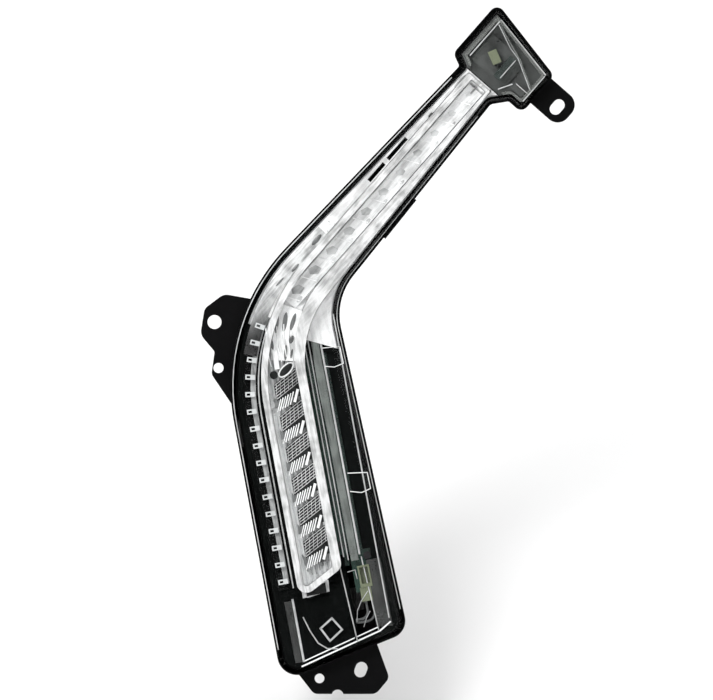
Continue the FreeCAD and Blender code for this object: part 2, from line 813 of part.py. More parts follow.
foot_hole = leg_place("sizes.leg_length + sizes.foot_hole_drop", "sizes.foot_hole_offset")
foot_slot = leg_place("sizes.leg_length + sizes.foot_slot_drop", "sizes.foot_slot_offset")
tub_inset = "sizes.rim_overhang + sizes.tub_wall"
floor_level = "(sizes.tub_wall - sizes.tub_depth)"
board_top = "(sizes.plate_level + sizes.plate_thickness + sizes.board_thickness)"
arm_board_top = "(sizes.arm_board_level + sizes.board_thickness)"
driver_top = "(sizes.driver_level + sizes.board_thickness)"
seat_level = "(sizes.ledge_level + sizes.tray_floor)"
channel_centre = "((sizes.band_right - sizes.right_rail_width - sizes.band_left + sizes.rail_width) / 2)"
arm_channel_centre = "((sizes.band_arm_right - sizes.band_arm_left + sizes.rail_width) / 2)"
tray_inset = "(sizes.ledge_inset + sizes.rim_gap)"


def block(body, name, frame, level, height, area, cut=False):
    """Pad or pocket of a rectangle (left, right, low, high) in a leg or an arm sketch."""
    sketch = frame(body, name + "_profile", level)
    rectangle(sketch, *area)
    return pocket(body, name, sketch, height) if cut else pad(body, name, sketch, height)


def eight_sided(sketch, x, z, width):
    """Octagon round a centre, its width measured from flat to flat."""
    points = []
    for step in range(8):
        turn = "%s" % (step * 45 + 22.5)
        reach = "(%s) / (2 * cos(22.5))" % width
        points.append(("%s + %s * cos(%s)" % (x, reach, turn), "%s + %s * sin(%s)" % (z, reach, turn)))
    polygon(sketch, points)


def octagons(body, name, frame, level, height, spots, width, cut=False):
    """Pad or pocket of equal octagons in a leg or an arm sketch."""
    sketch = frame(body, name + "_profile", level)
    for x, y in spots:
        eight_sided(sketch, x, y, width)
    return pocket(body, name, sketch, height) if cut else pad(body, name, sketch, height)


def rounds(body, name, frame, level, height, spots, diameter, cut=False):
    """Pad or pocket of equal circles in a leg or an arm sketch."""
    sketch = frame(body, name + "_profile", level)
    for x, y in spots:
        circle(sketch, x, y, diameter)
    return pocket(body, name, sketch, height) if cut else pad(body, name, sketch, height)


leg_screws = [("sizes.leg_post_offset", "-sizes.leg_post_first"),
              ("sizes.leg_post_offset", "-" + from_foot("leg_post_foot_gap"))]
leg_pegs = [("-sizes.leg_post_offset", y) for x, y in leg_screws]
arm_screws = [("0", "sizes.arm_post_first"), ("0", from_head("arm_post_head_gap"))]
driver_screws = [(from_right("driver_post_gap"), "-sizes.driver_post_first"),
                 (from_right("driver_post_gap"), "-" + from_foot("driver_post_foot_gap"))]
screw_hole = "sizes.screw_width + 2 * sizes.screw_play"


def posts(body, name, frame, spots, top, screwed=True):
    """Posts from the tub's floor up to a level, with pilot holes where screws go in."""
    foot = floor_level + " - sizes.tub_wall / 2"
    octagons(body, name, frame, foot, "%s - (%s)" % (top, foot), spots, "sizes.post_width")
    if screwed:
        octagons(body, name + "_pilots", frame, top, "sizes.pilot_depth", spots, screw_hole, cut=True)


def centred(width, height, x="sizes.socket_offset", y="-" + from_foot("socket_foot_gap")):
    """Area of a rectangle from its size and centre, which is the rear socket's unless given."""
    return ("%s - (%s) / 2" % (x, width), "%s + (%s) / 2" % (x, width),
            "%s - (%s) / 2" % (y, height), "%s + (%s) / 2" % (y, height))


def make_rear_housing():
    body = new_body("rear_housing")
    front = new_sketch(body, "tub_front", "sizes.rim_level - sizes.rim_height")
    lamp_outline(front, "sizes.rim_overhang")
    rear = new_sketch(body, "tub_rear", "sizes.tub_bevel - sizes.tub_depth")
    lamp_outline(rear, "sizes.rim_overhang + sizes.tub_draft")
    loft(body, "tub", front, rear)
    base = new_sketch(body, "tub_base", "-sizes.tub_depth")
    lamp_outline(base, "sizes.rim_overhang + sizes.tub_draft + sizes.tub_bevel")
    loft(body, "bevel", rear, base)
    rim = new_sketch(body, "rim_profile", "sizes.rim_level")
    lamp_outline(rim)
    pad(body, "rim", rim, "sizes.rim_height", back=True)

    # Side ear: a lobe round the main hole and a waist down to the locating hole
    ear = new_sketch(body, "side_ear_profile", "0")
    waist = "-98"
    trace(ear, ("0", "0"),
          [("-50", "sizes.ear_lower_reach", 1), (waist, "sizes.ear_waist_reach", -1),
           ("-56", "sizes.ear_lower_reach + sizes.ear_waist_reach + 4.3", 1), ("82", "20", 1),
           ("170", "sizes.ear_top_reach", 1), ("-143", "sizes.ear_corner_reach", 1),
           ("-99", "sizes.main_hole_diameter / 2 + sizes.main_hole_margin", 1)],
          ["6", "2", "4", "1", "1", "6", "5"])
    pad(body, "side_ear", ear, "sizes.ear_thickness")
    # Foot ear
    ear = new_sketch(body, "foot_ear_profile", "0")
    trace(ear, foot_slot,
          [("0", "sizes.foot_ear_drop", 1), ("50", "sizes.foot_ear_drop + 1.4", 1), ("110", "12", 1),
           ("-158", "20", 1), ("-52", "26", 1)],
          ["4", "5", "4", "1", "1"])
    pad(body, "foot_ear", ear, "sizes.ear_thickness")
    notch = [("sizes.foot_notch_offset", "-sizes.leg_length - sizes.foot_notch_drop")]
    rounds(body, "foot_notch", leg_sketch, "sizes.ear_thickness", "sizes.ear_thickness * 2", notch,
           "sizes.foot_notch_diameter", cut=True)
    # Head ear
    ear = arm_sketch(body, "head_ear_profile", "0")
    trace(ear, ("sizes.head_slot_offset", past_head("head_slot_rise")),
          [("0", "sizes.head_slot_length / 2 + sizes.head_ear_margin - 1.5", 1),
           ("90", "sizes.head_slot_width / 2 + sizes.head_ear_margin", 1),
           ("180", "sizes.head_slot_length / 2 + sizes.head_ear_margin", 1), ("-90", "20", 1)],
          ["1", "6.5", "6.5", "1"])
    pad(body, "head_ear", ear, "sizes.ear_thickness")

    # Low ledge outside the rim, along the right edge of the arm
    low, high = "sizes.rim_ledge_start", from_head("rim_ledge_head_gap")
    ledge = arm_sketch(body, "rim_ledge_profile", "sizes.rim_level - sizes.rim_height")
    polygon(ledge, [(arm_edge(low, "-1"), low), (arm_edge(low, "sizes.rim_ledge_reach"), low),
                    (arm_edge(high, "sizes.rim_ledge_reach"), high), (arm_edge(high, "-1"), high)])
    pad(body, "rim_ledge", ledge, "sizes.rim_height - 1")
    # Ribs across the rear
    for name, frame, start, pitch, half, back in (
            ("leg_rib", leg_sketch, "-sizes.leg_rib_start", leg_rib_pitch,
             "(sizes.leg_width / 2 - sizes.rear_rib_edge_gap)", True),
            ("arm_rib", arm_sketch, "sizes.arm_rib_start", arm_rib_pitch, "sizes.arm_rib_half", False)):
        rib = frame(body, name + "_profile", "-sizes.tub_depth - sizes.rear_rib_height")
        rectangle(rib, "-" + half, half, start + " - sizes.rear_rib_width / 2",
                  start + " + sizes.rear_rib_width / 2")
        feature = pad(body, name, rib, "sizes.rear_rib_height + sizes.tub_wall / 2")
        row_of(body, name + "s", [feature], rib, "V_Axis", "sizes.rear_rib_count", pitch, back=back)

    # Inside: groove for the lens, drafted hollow, ledge for the inner mouldings
    groove = new_sketch(body, "groove_outer", "sizes.rim_level")
    lamp_outline(groove, "sizes.groove_inset")
    pocket(body, "groove", groove, "sizes.groove_depth")
    groove = new_sketch(body, "groove_inner", "sizes.rim_level")
    lamp_outline(groove, "sizes.groove_inset + sizes.groove_width")
    pad(body, "inner_rim", groove, "sizes.groove_depth", back=True)
    front = new_sketch(body, "hollow_front", "sizes.rim_level")
    lamp_outline(front, tub_inset)
    rear = new_sketch(body, "hollow_rear", floor_level)
    lamp_outline(rear, tub_inset + " + sizes.tub_draft")
    loft(body, "hollow", front, rear, cut=True)
    ledge = new_sketch(body, "ledge_profile", "sizes.rim_level")
    lamp_outline(ledge, "sizes.ledge_inset")
    pocket(body, "ledge", ledge, "sizes.rim_level - sizes.ledge_level")

    # Holes through the ears
    holes = new_sketch(body, "ear_holes_profile", "sizes.ear_thickness")
    circle(holes, "0", "0", "sizes.main_hole_diameter")
    circle(holes, "sizes.locating_hole_x", "sizes.locating_hole_z", "sizes.locating_hole_diameter")
    circle(holes, foot_hole[0], foot_hole[1], "sizes.foot_hole_diameter")
    slot(holes, foot_slot[0], foot_slot[1], "70", "sizes.foot_slot_width",
         "sizes.foot_slot_length")
    pocket(body, "ear_holes", holes, "sizes.ear_thickness * 2")
    head_slot = arm_sketch(body, "head_slot_profile", "sizes.ear_thickness")
    slot(head_slot, "sizes.head_slot_offset", past_head("head_slot_rise"), "90",
         "sizes.head_slot_width", "sizes.head_slot_length")
    pocket(body, "head_slot", head_slot, "sizes.ear_thickness * 2")

    # Posts for the boards, opening for the rear socket, vent nipple
    posts(body, "leg_posts", leg_sketch, leg_screws, "sizes.plate_level")
    posts(body, "leg_pegs", leg_sketch, leg_pegs, "sizes.plate_level", screwed=False)
    posts(body, "arm_posts", arm_sketch, arm_screws, "sizes.arm_board_level")
    posts(body, "driver_posts", leg_sketch, driver_screws, "sizes.driver_level")
    block(body, "socket_opening", leg_sketch, floor_level + " + 1", "sizes.tub_wall + 2",
          centred("sizes.socket_hole_width", "sizes.socket_hole_height"), cut=True)
    vent = [("sizes.vent_offset", "-sizes.vent_station")]
    rounds(body, "vent_nipple", leg_sketch, "-sizes.tub_depth - sizes.vent_nipple_length",
           "sizes.vent_nipple_length + sizes.tub_wall / 2", vent, "sizes.vent_nipple_diameter")
    rounds(body, "vent_bore", leg_sketch, floor_level + " + 1",
           "sizes.tub_wall + sizes.vent_nipple_length + 2", vent, "sizes.vent_bore", cut=True)
    return body


def make_lens():
    form = new_body("lens_form")
    base = new_sketch(form, "lens_base", "sizes.rim_level")
    lamp_outline(base, "sizes.lens_inset")
    face = new_sketch(form, "lens_face", "sizes.lens_height + 2")
    drafts = {}
    for side in ("arm_right", "flare", "head_base", "head_right", "head_top"):
        drafts[side] = "sizes.lens_inset + sizes.lens_steep_draft"
    drafts["leg_left"] = "sizes.lens_inset + sizes.lens_side_draft"
    lamp_outline(face, "sizes.lens_inset + sizes.lens_draft", **drafts)
    loft(form, "lens_wall", base, face)
    crown_cut(form, "lens_crown", "0")
    flange = new_sketch(form, "flange_profile", "sizes.rim_level")
    lamp_outline(flange, "sizes.flange_inset")
    pad(form, "flange", flange, "sizes.flange_thickness")
    for name, low in (("lower_clip", "sizes.lower_clip_start"),
                      ("upper_clip", from_head("upper_clip_head_gap"))):
        high = "(%s + sizes.lens_clip_length)" % low
        clip = arm_sketch(form, name + "_profile", "sizes.rim_level")
        polygon(clip, [(arm_edge(low, "-sizes.lens_clip_root"), low),
                       (arm_edge(low, "sizes.lens_clip_reach"), low + " + 1"),
                       (arm_edge(low, "sizes.lens_clip_reach"), "(%s + %s) / 2" % (low, high)),
                       (arm_edge(high, "-sizes.lens_clip_root"), high)])
        pad(form, name, clip, "sizes.flange_thickness")
    tongue = new_sketch(form, "tongue_profile", "sizes.rim_level")
    lamp_outline(tongue, "sizes.groove_inset + sizes.tongue_play")
    pad(form, "tongue", tongue, "sizes.tongue_depth", back=True)

    core = new_body("lens_core")
    base = new_sketch(core, "core_base", "sizes.rim_level")
    lamp_outline(base, "sizes.lens_inset + sizes.lens_wall")
    face = new_sketch(core, "core_face", "sizes.lens_height + 2")
    inner = {side: value + " + sizes.lens_wall" for side, value in drafts.items()}
    lamp_outline(face, "sizes.lens_inset + sizes.lens_draft + sizes.lens_wall", **inner)
    loft(core, "core_wall", base, face)
    crown_cut(core, "core_crown", "sizes.lens_wall")
    mouth = new_sketch(core, "core_mouth_profile", "sizes.rim_level")
    lamp_outline(mouth, "sizes.groove_inset + sizes.groove_width - sizes.tongue_play")
    pad(core, "core_mouth", mouth, "sizes.tongue_depth + 1", back=True)

    lens = doc.addObject("Part::Cut", "outer_lens")
    lens.Base = form
    lens.Tool = core
    return lens


def make_seal():
    body = new_body("lens_seal")
    bed = "sizes.rim_level - sizes.groove_depth"
    ring = new_sketch(body, "seal_outer", bed)
    lamp_outline(ring, "sizes.groove_inset + sizes.tongue_play")
    pad(body, "bead", ring, "sizes.groove_depth - sizes.tongue_depth")
    ring = new_sketch(body, "seal_inner", "sizes.rim_level")
    lamp_outline(ring, "sizes.groove_inset + sizes.groove_width - sizes.tongue_play")
    pocket(body, "bead_inside", ring, "sizes.groove_depth + 1")
    return body


board_area = ("-sizes.board_left", "sizes.board_right", "-" + from_foot("board_foot_gap"),
              "-sizes.board_start")


def make_heat_spreader():
    body = new_body("heat_spreader")
    block(body, "plate", leg_sketch, "sizes.plate_level", "sizes.plate_thickness", board_area)
    octagons(body, "plate_holes", leg_sketch, "sizes.plate_level + sizes.plate_thickness",
             "sizes.plate_thickness + 1", leg_screws, screw_hole, cut=True)
    edge = "sizes.post_width / 2 + 2"
    first = "-sizes.fin_pitch * (sizes.fin_count - 1) / 2"
    fin = leg_sketch(body, "fin_profile", "sizes.plate_level - sizes.fin_height")
    rectangle(fin, first + " - sizes.fin_thickness / 2", first + " + sizes.fin_thickness / 2",
              "-%s + %s" % (from_foot("leg_post_foot_gap"), edge), "-sizes.leg_post_first - (%s)" % edge)
    fins = pad(body, "fin", fin, "sizes.fin_height")
    row_of(body, "fins", [fins], fin, "H_Axis", "sizes.fin_count", "sizes.fin_pitch")
    return body


def make_leg_board():
    body = new_body("leg_led_board")
    bottom = "sizes.plate_level + sizes.plate_thickness"
    block(body, "board", leg_sketch, bottom, "sizes.board_thickness", board_area)
    octagons(body, "board_holes", leg_sketch, board_top, "sizes.board_thickness + 1", leg_screws,
             screw_hole, cut=True)
    return body


def make_arm_board():
    body = new_body("arm_led_board")
    block(body, "board", arm_sketch, "sizes.arm_board_level", "sizes.board_thickness",
          ("-sizes.arm_board_left", "sizes.arm_board_right", "sizes.arm_board_start",
           from_head("arm_board_head_gap")))
    octagons(body, "board_holes", arm_sketch, arm_board_top, "sizes.board_thickness + 1", arm_screws,
             screw_hole, cut=True)
    return body


# Pitches that fill the length between two ends
cell_pitch = "((sizes.leg_length - sizes.cell_foot_gap - sizes.cell_start) / sizes.cell_count)"
arm_cell_pitch = ("((sizes.arm_length - sizes.arm_cell_head_gap - sizes.arm_cell_start)"
                  " / sizes.arm_cell_count)")
leg_rib_pitch = ("((sizes.leg_length - sizes.leg_rib_foot_gap - sizes.leg_rib_start)"
                 " / (sizes.rear_rib_count - 1))")
arm_rib_pitch = ("((sizes.arm_length - sizes.arm_rib_head_gap - sizes.arm_rib_start)"
                 " / (sizes.rear_rib_count - 1))")
chip_pitch = ("((sizes.leg_length - sizes.header_far_gap - sizes.driver_start - 2 * sizes.chip_end_gap)"
              " / (sizes.chip_count - 1))")

# A leg cell is a leaning valley. Its lowest line crosses the channel at these stations.
leg_light = "(sizes.cell_start + %s * sizes.cell_hatch_share)" % cell_pitch
arm_light = "(sizes.arm_cell_start + %s / 2)" % arm_cell_pitch


def make_leg_leds():
    body = new_body("leg_leds")
    area = centred("sizes.led_width", "sizes.led_length", channel_centre, "-" + leg_light)
    sketch = leg_sketch(body, "led_profile", board_top)
    rectangle(sketch, *area)
    led = pad(body, "led", sketch, "sizes.led_height")
    row_of(body, "leds", [led], sketch, "V_Axis", "sizes.cell_count", cell_pitch, back=True)
    return body


def make_arm_leds():
    body = new_body("arm_leds")
    area = centred("sizes.led_width", "sizes.led_length", arm_channel_centre, arm_light)
    sketch = arm_sketch(body, "led_profile", arm_board_top)
    rectangle(sketch, *area)
    led = pad(body, "led", sketch, "sizes.led_height")
    row_of(body, "leds", [led], sketch, "V_Axis", "sizes.arm_cell_count", arm_cell_pitch)
    return body


def make_leg_reflector():
    body = new_body("leg_reflector")
    base = new_sketch(body, "base_profile", board_top)
    band_outline(base)
    pad(body, "base", base, "%s - %s" % (seat_level, board_top))
    mass = new_sketch(body, "cells_profile", seat_level)
    band_outline(mass, "-sizes.part_gap", inner=True)
    pad(body, "cells_block", mass, "sizes.cell_high - %s" % seat_level)
    cut_above_split(body, "top_end", "sizes.cell_high + 1", "sizes.cell_high + 2")

    # One cell: a hatched slope down the leg, then a steep face back up
    top = "(-sizes.cell_start * cos(sizes.cell_lean) - %s * sin(sizes.cell_lean))" % channel_centre
    step = "(%s * cos(sizes.cell_lean))" % cell_pitch
    drop = "(sizes.cell_high - sizes.cell_low)"
    points = [("-sizes.cell_high - 1", top), ("-sizes.cell_high", top)]
    hatches = int(number("sizes.cell_hatches"))
    for i in range(hatches):
        share = "%d / sizes.cell_hatches" % (i + 1)
        y = "%s - %s * sizes.cell_hatch_share * %s" % (top, step, share)
        level = "-sizes.cell_high + %s * %s" % (drop, share)
        if i < hatches - 1:
            points.append((level, y))
            points.append((level + " - sizes.cell_hatch_height", y))
        else:
            points.append((level, y))
    points.append(("-sizes.cell_high", "%s - %s" % (top, step)))
    points.append(("-sizes.cell_high - 1", "%s - %s" % (top, step)))
    cell = side_sketch(body, "cell_profile", path_tilt + " + sizes.cell_lean")
    polygon(cell, points)
    cut = both_ways(pocket(body, "cell", cell, "60"))
    row_of(body, "cells", [cut], cell, "V_Axis", "sizes.cell_count", step, back=True)

    # Flutes along the leg turn the hatched slopes into small pyramids
    first = "(%s - sizes.flute_pitch * (sizes.flute_count - 1) / 2)" % channel_centre
    flute = cross_sketch(body, "flute_profile", path_tilt)
    polygon(flute, [("%s - sizes.flute_pitch / 2" % first, "-sizes.cell_high - 0.1"),
                    (first, "-sizes.cell_high + sizes.flute_depth"),
                    ("%s + sizes.flute_pitch / 2" % first, "-sizes.cell_high - 0.1")])
    groove = both_ways(pocket(body, "flute", flute, "600"))
    row_of(body, "flutes", [groove], flute, "H_Axis", "sizes.flute_count", "sizes.flute_pitch")

    # Slanting recess above the first cell
    eye = leg_sketch(body, "eye_profile", "sizes.cell_high")
    slot(eye, "sizes.eye_offset", "-sizes.eye_station", "sizes.eye_turn", "sizes.eye_width",
         "sizes.eye_length")
    pocket(body, "eye", eye, "sizes.eye_depth")

    window = leg_sketch(body, "window_profile", "sizes.cell_high")
    rectangle(window, *centred("sizes.led_window", "sizes.led_window", channel_centre, "-" + leg_light))
    hole = pocket(body, "window", window, "sizes.cell_high")
    row_of(body, "windows", [hole], window, "V_Axis", "sizes.cell_count", cell_pitch, back=True)
    return body


# Centre of the leg's outer bend, from the knee point: across and up the leg
bend_turn = "(90 + sizes.leg_tilt - sizes.leg_taper - sizes.arm_tilt + sizes.arm_taper)"
bend_x = "(sizes.knee_outer_radius - sizes.leg_width / 2)"
bend_y = ("((sizes.arm_width / 2 - sizes.leg_width / 2 * cos(%s)) / sin(%s)"
          " - sizes.knee_outer_radius * tan(%s / 2))" % (bend_turn, bend_turn, bend_turn))


tooth_pitch = ("((sizes.leg_length - sizes.tooth_foot_gap + %s - sizes.tooth_bend_gap)"
               " / (sizes.leg_tooth_count - 1))" % bend_y)


def bend_sketch(body, name, level, turn):
    """Sketch whose origin is the centre of the outer bend; its -x side points to the bend's start
    when turn is 0."""
    x, z = leg_place("-" + bend_y, bend_x)
    return turned_sketch(body, name, "XZ_Plane", (x, z, level), (0, 0, 1), "%s - (%s)" % (path_tilt, turn))


def sector(sketch, inner, outer, turn):
    """Ring sector about the sketch's origin, from its -x side upwards by an angle."""
    small, large, angle = number(inner), number(outer), math.radians(number(turn))
    up = Vector(0, 0, 1)
    arcs = []
    for radius in (small, large):
        bow = Part.ArcOfCircle(Part.Circle(Vector(0, 0, 0), up, radius), math.pi - angle, math.pi)
        arcs.append(sketch.addGeometry(bow, False))
    sides = []
    for spot in (1, 2):
        line = Part.LineSegment(sketch.getPoint(arcs[0], spot), sketch.getPoint(arcs[1], spot))
        sides.append(sketch.addGeometry(line, False))
    rules = Rules(sketch)
    for spot, side in zip((1, 2), sides):
        rules.join("Coincident", arcs[0], spot, side, 1)
        rules.join("Coincident", arcs[1], spot, side, 2)
    for arc, radius in zip(arcs, (inner, outer)):
        rules.join("Coincident", arc, 3, -1, 1)
        rules.drive(radius, "Radius", arc)
    rules.join("PointOnObject", arcs[0], 2, -1)
    rules.join("PointOnObject", arcs[1], 2, -1)
    rules.drive("180 - (%s)" % turn, "Angle", sides[0])
    rules.apply()


def make_arm_reflector():
    body = new_body("arm_reflector")
    floor = new_sketch(body, "floor_profile", "sizes.ledge_level")
    lamp_outline(floor, tray_inset)
    pad(body, "floor", floor, "sizes.tray_floor")
    plateau = new_sketch(body, "plateau_profile", seat_level)
    lamp_outline(plateau, tray_inset + " + 0.6", leg_left=tray_inset + " + 2.2")
    pad(body, "plateau", plateau, "sizes.plateau_level - %s" % seat_level)
    cut_below_split(body, "lower_end", "sizes.plateau_level", "sizes.plateau_level", "sizes.part_gap")
    cut_past_station(body, "far_end", "sizes.plateau_level", "sizes.plateau_level",
                     from_head("head_joint"))
    channel = new_sketch(body, "channel_profile", "sizes.plateau_level")
    band_outline(channel, "sizes.part_gap")
    pocket(body, "channel", channel, "sizes.plateau_level - %s" % seat_level)
    mass = new_sketch(body, "cells_profile", seat_level)
    band_outline(mass, "-sizes.part_gap", inner=True)
    pad(body, "cells_block", mass, "sizes.arm_cell_high - %s" % seat_level)
    cut_below_split(body, "cells_end", "sizes.plateau_level", "sizes.plateau_level", "sizes.part_gap")
    for name, low, length in (
            ("lower_slot", "sizes.lower_slot_start", "sizes.lower_slot_length"),
            ("middle_slot", from_head("middle_slot_head_gap"), "sizes.middle_slot_length"),
            ("upper_slot", from_head("upper_slot_head_gap"), "sizes.upper_slot_length")):
        block(body, name, arm_sketch, "sizes.plateau_level", "sizes.plateau_level",
              ("sizes.tray_slot_offset - sizes.tray_slot_width / 2",
               "sizes.tray_slot_offset + sizes.tray_slot_width / 2", low, "%s + %s" % (low, length)),
              cut=True)
    recess = bend_sketch(body, "strip_recess_profile", "sizes.plateau_level", "0")
    sector(recess, "sizes.knee_outer_radius - sizes.strip_inset - sizes.strip_width - sizes.part_gap",
           "sizes.knee_outer_radius", "sizes.strip_bend_turn + 0.4")
    pocket(body, "strip_recess", recess, "sizes.plateau_level - sizes.trim_level + sizes.part_gap")

    # Valleys across the arm, each over one light, and one groove along it
    low = "sizes.arm_cell_start"
    cell = side_sketch(body, "cell_profile", "90 - sizes.arm_tilt", (1, 0, 0))
    polygon(cell, [("-sizes.arm_cell_high - 0.1", low),
                   ("-sizes.arm_cell_high - 0.1", low + " + " + arm_cell_pitch),
                   ("-sizes.arm_cell_low", low + " + %s / 2" % arm_cell_pitch)])
    cut = pocket(body, "cell", cell, "sizes.arm_cell_left")
    cut.SideType = "Two sides"
    cut.Length2 = number("sizes.arm_cell_right")
    cut.setExpression("Length2", "sizes.arm_cell_right")
    row_of(body, "cells", [cut], cell, "V_Axis", "sizes.arm_cell_count", arm_cell_pitch)
    window = arm_sketch(body, "window_profile", "sizes.arm_cell_high")
    rectangle(window, *centred("sizes.led_window", "sizes.led_window", arm_channel_centre, arm_light))
    hole = pocket(body, "window", window, "sizes.arm_cell_high")
    row_of(body, "windows", [hole], window, "V_Axis", "sizes.arm_cell_count", arm_cell_pitch)
    return body


def make_inner_optic():
    body = new_body("inner_optic")
    outer = new_sketch(body, "optic_outer", seat_level)
    band_outline(outer)
    pad(body, "optic", outer, "sizes.lens_height - sizes.rail_drop")
    inner = new_sketch(body, "optic_inner", "sizes.lens_height")
    band_outline(inner, inner=True)
    pocket(body, "optic_inside", inner, "sizes.lens_height")
    crown_cut(body, "optic_crown", "sizes.rail_drop")
    low = "-" + from_foot("optic_tab_foot_gap")
    tab = leg_sketch(body, "tab_profile", "sizes.optic_tab_level")
    polygon(tab, [("-sizes.optic_tab_left", low), ("sizes.optic_tab_right", low + " + 1"),
                  ("sizes.optic_tab_right", low + " + sizes.optic_tab_right_length"),
                  ("-sizes.optic_tab_left", low + " + sizes.optic_tab_left_length")])
    pad(body, "tab", tab, "sizes.optic_tab_thickness")
    return body


trim_bottom = "(sizes.trim_level - sizes.trim_thickness)"
panel_foot = "-" + from_foot("panel_foot_gap")
window_foot = "-" + from_foot("window_foot_gap")


def make_lower_bezel():
    body = new_body("lower_bezel")
    plate = new_sketch(body, "plate_profile", "sizes.ledge_level")
    lamp_outline(plate, tray_inset)
    pad(body, "plate", plate, "sizes.trim_level - sizes.ledge_level")
    inside = new_sketch(body, "inside_profile", trim_bottom)
    lamp_outline(inside, tray_inset + " + sizes.trim_skirt")
    pocket(body, "inside", inside, "sizes.trim_thickness * 3")
    cut_above_split(body, "top_end", "sizes.trim_level + 1", "sizes.trim_level")
    channel = new_sketch(body, "channel_profile", "sizes.trim_level")
    band_outline(channel, "sizes.part_gap")
    pocket(body, "channel", channel, "sizes.trim_level")
    block(body, "panel_opening", leg_sketch, "sizes.trim_level", "sizes.trim_thickness + 1",
          ("sizes.panel_left", from_right("panel_right_gap"), panel_foot, "-sizes.panel_start"), cut=True)
    block(body, "plug_opening", leg_sketch, "sizes.trim_level", "sizes.trim_thickness + 1",
          ("sizes.window_left", from_right("window_right_gap"), window_foot, panel_foot + " + 1"),
          cut=True)
    # Raised ribs: beside the plug opening, and a square mark near the foot
    rib = "sizes.trim_rib_width"
    block(body, "left_rib", leg_sketch, "sizes.trim_level - 0.2", "sizes.trim_rib_height + 0.2",
          ("sizes.window_left - %s - 0.8" % rib, "sizes.window_left - 0.8", window_foot + " - 3",
           panel_foot + " - 7"))
    mark_foot = "-" + from_foot("mark_foot_gap")
    spot = centred("sizes.mark_size", "sizes.mark_size", "sizes.mark_offset", mark_foot)
    block(body, "mark", leg_sketch, "sizes.trim_level - 0.2", "sizes.trim_rib_height / 2 + 0.2", spot)
    inner = centred("sizes.mark_size - 2 * %s" % rib, "sizes.mark_size - 2 * %s" % rib,
                    "sizes.mark_offset", mark_foot)
    block(body, "mark_inside", leg_sketch, "sizes.trim_level + sizes.trim_rib_height",
          "sizes.trim_rib_height", inner, cut=True)
    return body


def make_edge_strip():
    body = new_body("edge_strip")
    left = "-sizes.leg_width / 2 + sizes.strip_inset"
    block(body, "leg_strip", leg_sketch, "sizes.trim_level", "sizes.strip_thickness",
          (left, left + " + sizes.strip_width", "-" + from_foot("strip_foot_gap"), bend_y))
    outer = "(sizes.knee_outer_radius - sizes.strip_inset)"
    inner = "(%s - sizes.strip_width)" % outer
    sketch = bend_sketch(body, "bend_profile", "sizes.trim_level", "0")
    sector(sketch, inner, outer, "sizes.strip_bend_turn")
    pad(body, "bend_strip", sketch, "sizes.strip_thickness")

    top = "sizes.strip_thickness + sizes.tooth_height"
    tooth = leg_sketch(body, "tooth_profile", "sizes.trim_level")
    first = "-" + from_foot("tooth_foot_gap")
    half = "sizes.tooth_length / 2"
    inset = "sizes.tooth_wall"
    rectangle(tooth, left + " + sizes.tooth_margin", left + " + sizes.strip_width - sizes.tooth_margin",
              "%s - %s" % (first, half), "%s + %s" % (first, half))
    feature = pad(body, "tooth", tooth, top)
    recess = leg_sketch(body, "tooth_recess_profile", "sizes.trim_level + " + top)
    rectangle(recess, "%s + sizes.tooth_margin + %s" % (left, inset), left + " + sizes.strip_width / 2",
              "%s - %s + %s" % (first, half, inset), "%s + %s - %s" % (first, half, inset))
    hollow = pocket(body, "tooth_recess", recess, "sizes.tooth_recess_depth")
    row_of(body, "leg_teeth", [feature, hollow], tooth, "V_Axis", "sizes.leg_tooth_count", tooth_pitch)
    middle = "(%s + %s) / 2" % (inner, outer)
    step = "(%s / (%s) * 180 / pi)" % (tooth_pitch, middle)
    past = ("(sizes.tooth_foot_gap - sizes.leg_length + sizes.leg_tooth_count * %s - %s)"
            % (tooth_pitch, bend_y))
    turn = "%s / (%s) * 180 / pi" % (past, middle)
    tooth = bend_sketch(body, "bend_tooth_profile", "sizes.trim_level", turn)
    rectangle(tooth, "-%s + sizes.tooth_margin" % outer, "-%s - sizes.tooth_margin" % inner, "-" + half, half)
    feature = pad(body, "bend_tooth", tooth, top)
    recess = bend_sketch(body, "bend_recess_profile", "sizes.trim_level + " + top, turn)
    rectangle(recess, "-%s + sizes.tooth_margin + %s" % (outer, inset), "-(%s)" % middle,
              "%s - %s" % (inset, half), "%s - %s" % (half, inset))
    hollow = pocket(body, "bend_recess", recess, "sizes.tooth_recess_depth")
    pattern = body.newObject("PartDesign::PolarPattern", "bend_teeth")
    pattern.Originals = [feature, hollow]
    pattern.Axis = (tooth, ["N_Axis"])
    pattern.Reversed = True
    pattern.Occurrences = int(number("sizes.bend_tooth_count"))
    pattern.setExpression("Occurrences", "sizes.bend_tooth_count")
    pattern.Angle = number("(sizes.bend_tooth_count - 1) * %s" % step)
    pattern.setExpression("Angle", "(sizes.bend_tooth_count - 1) * %s" % step)
    body.Tip = pattern
    return body


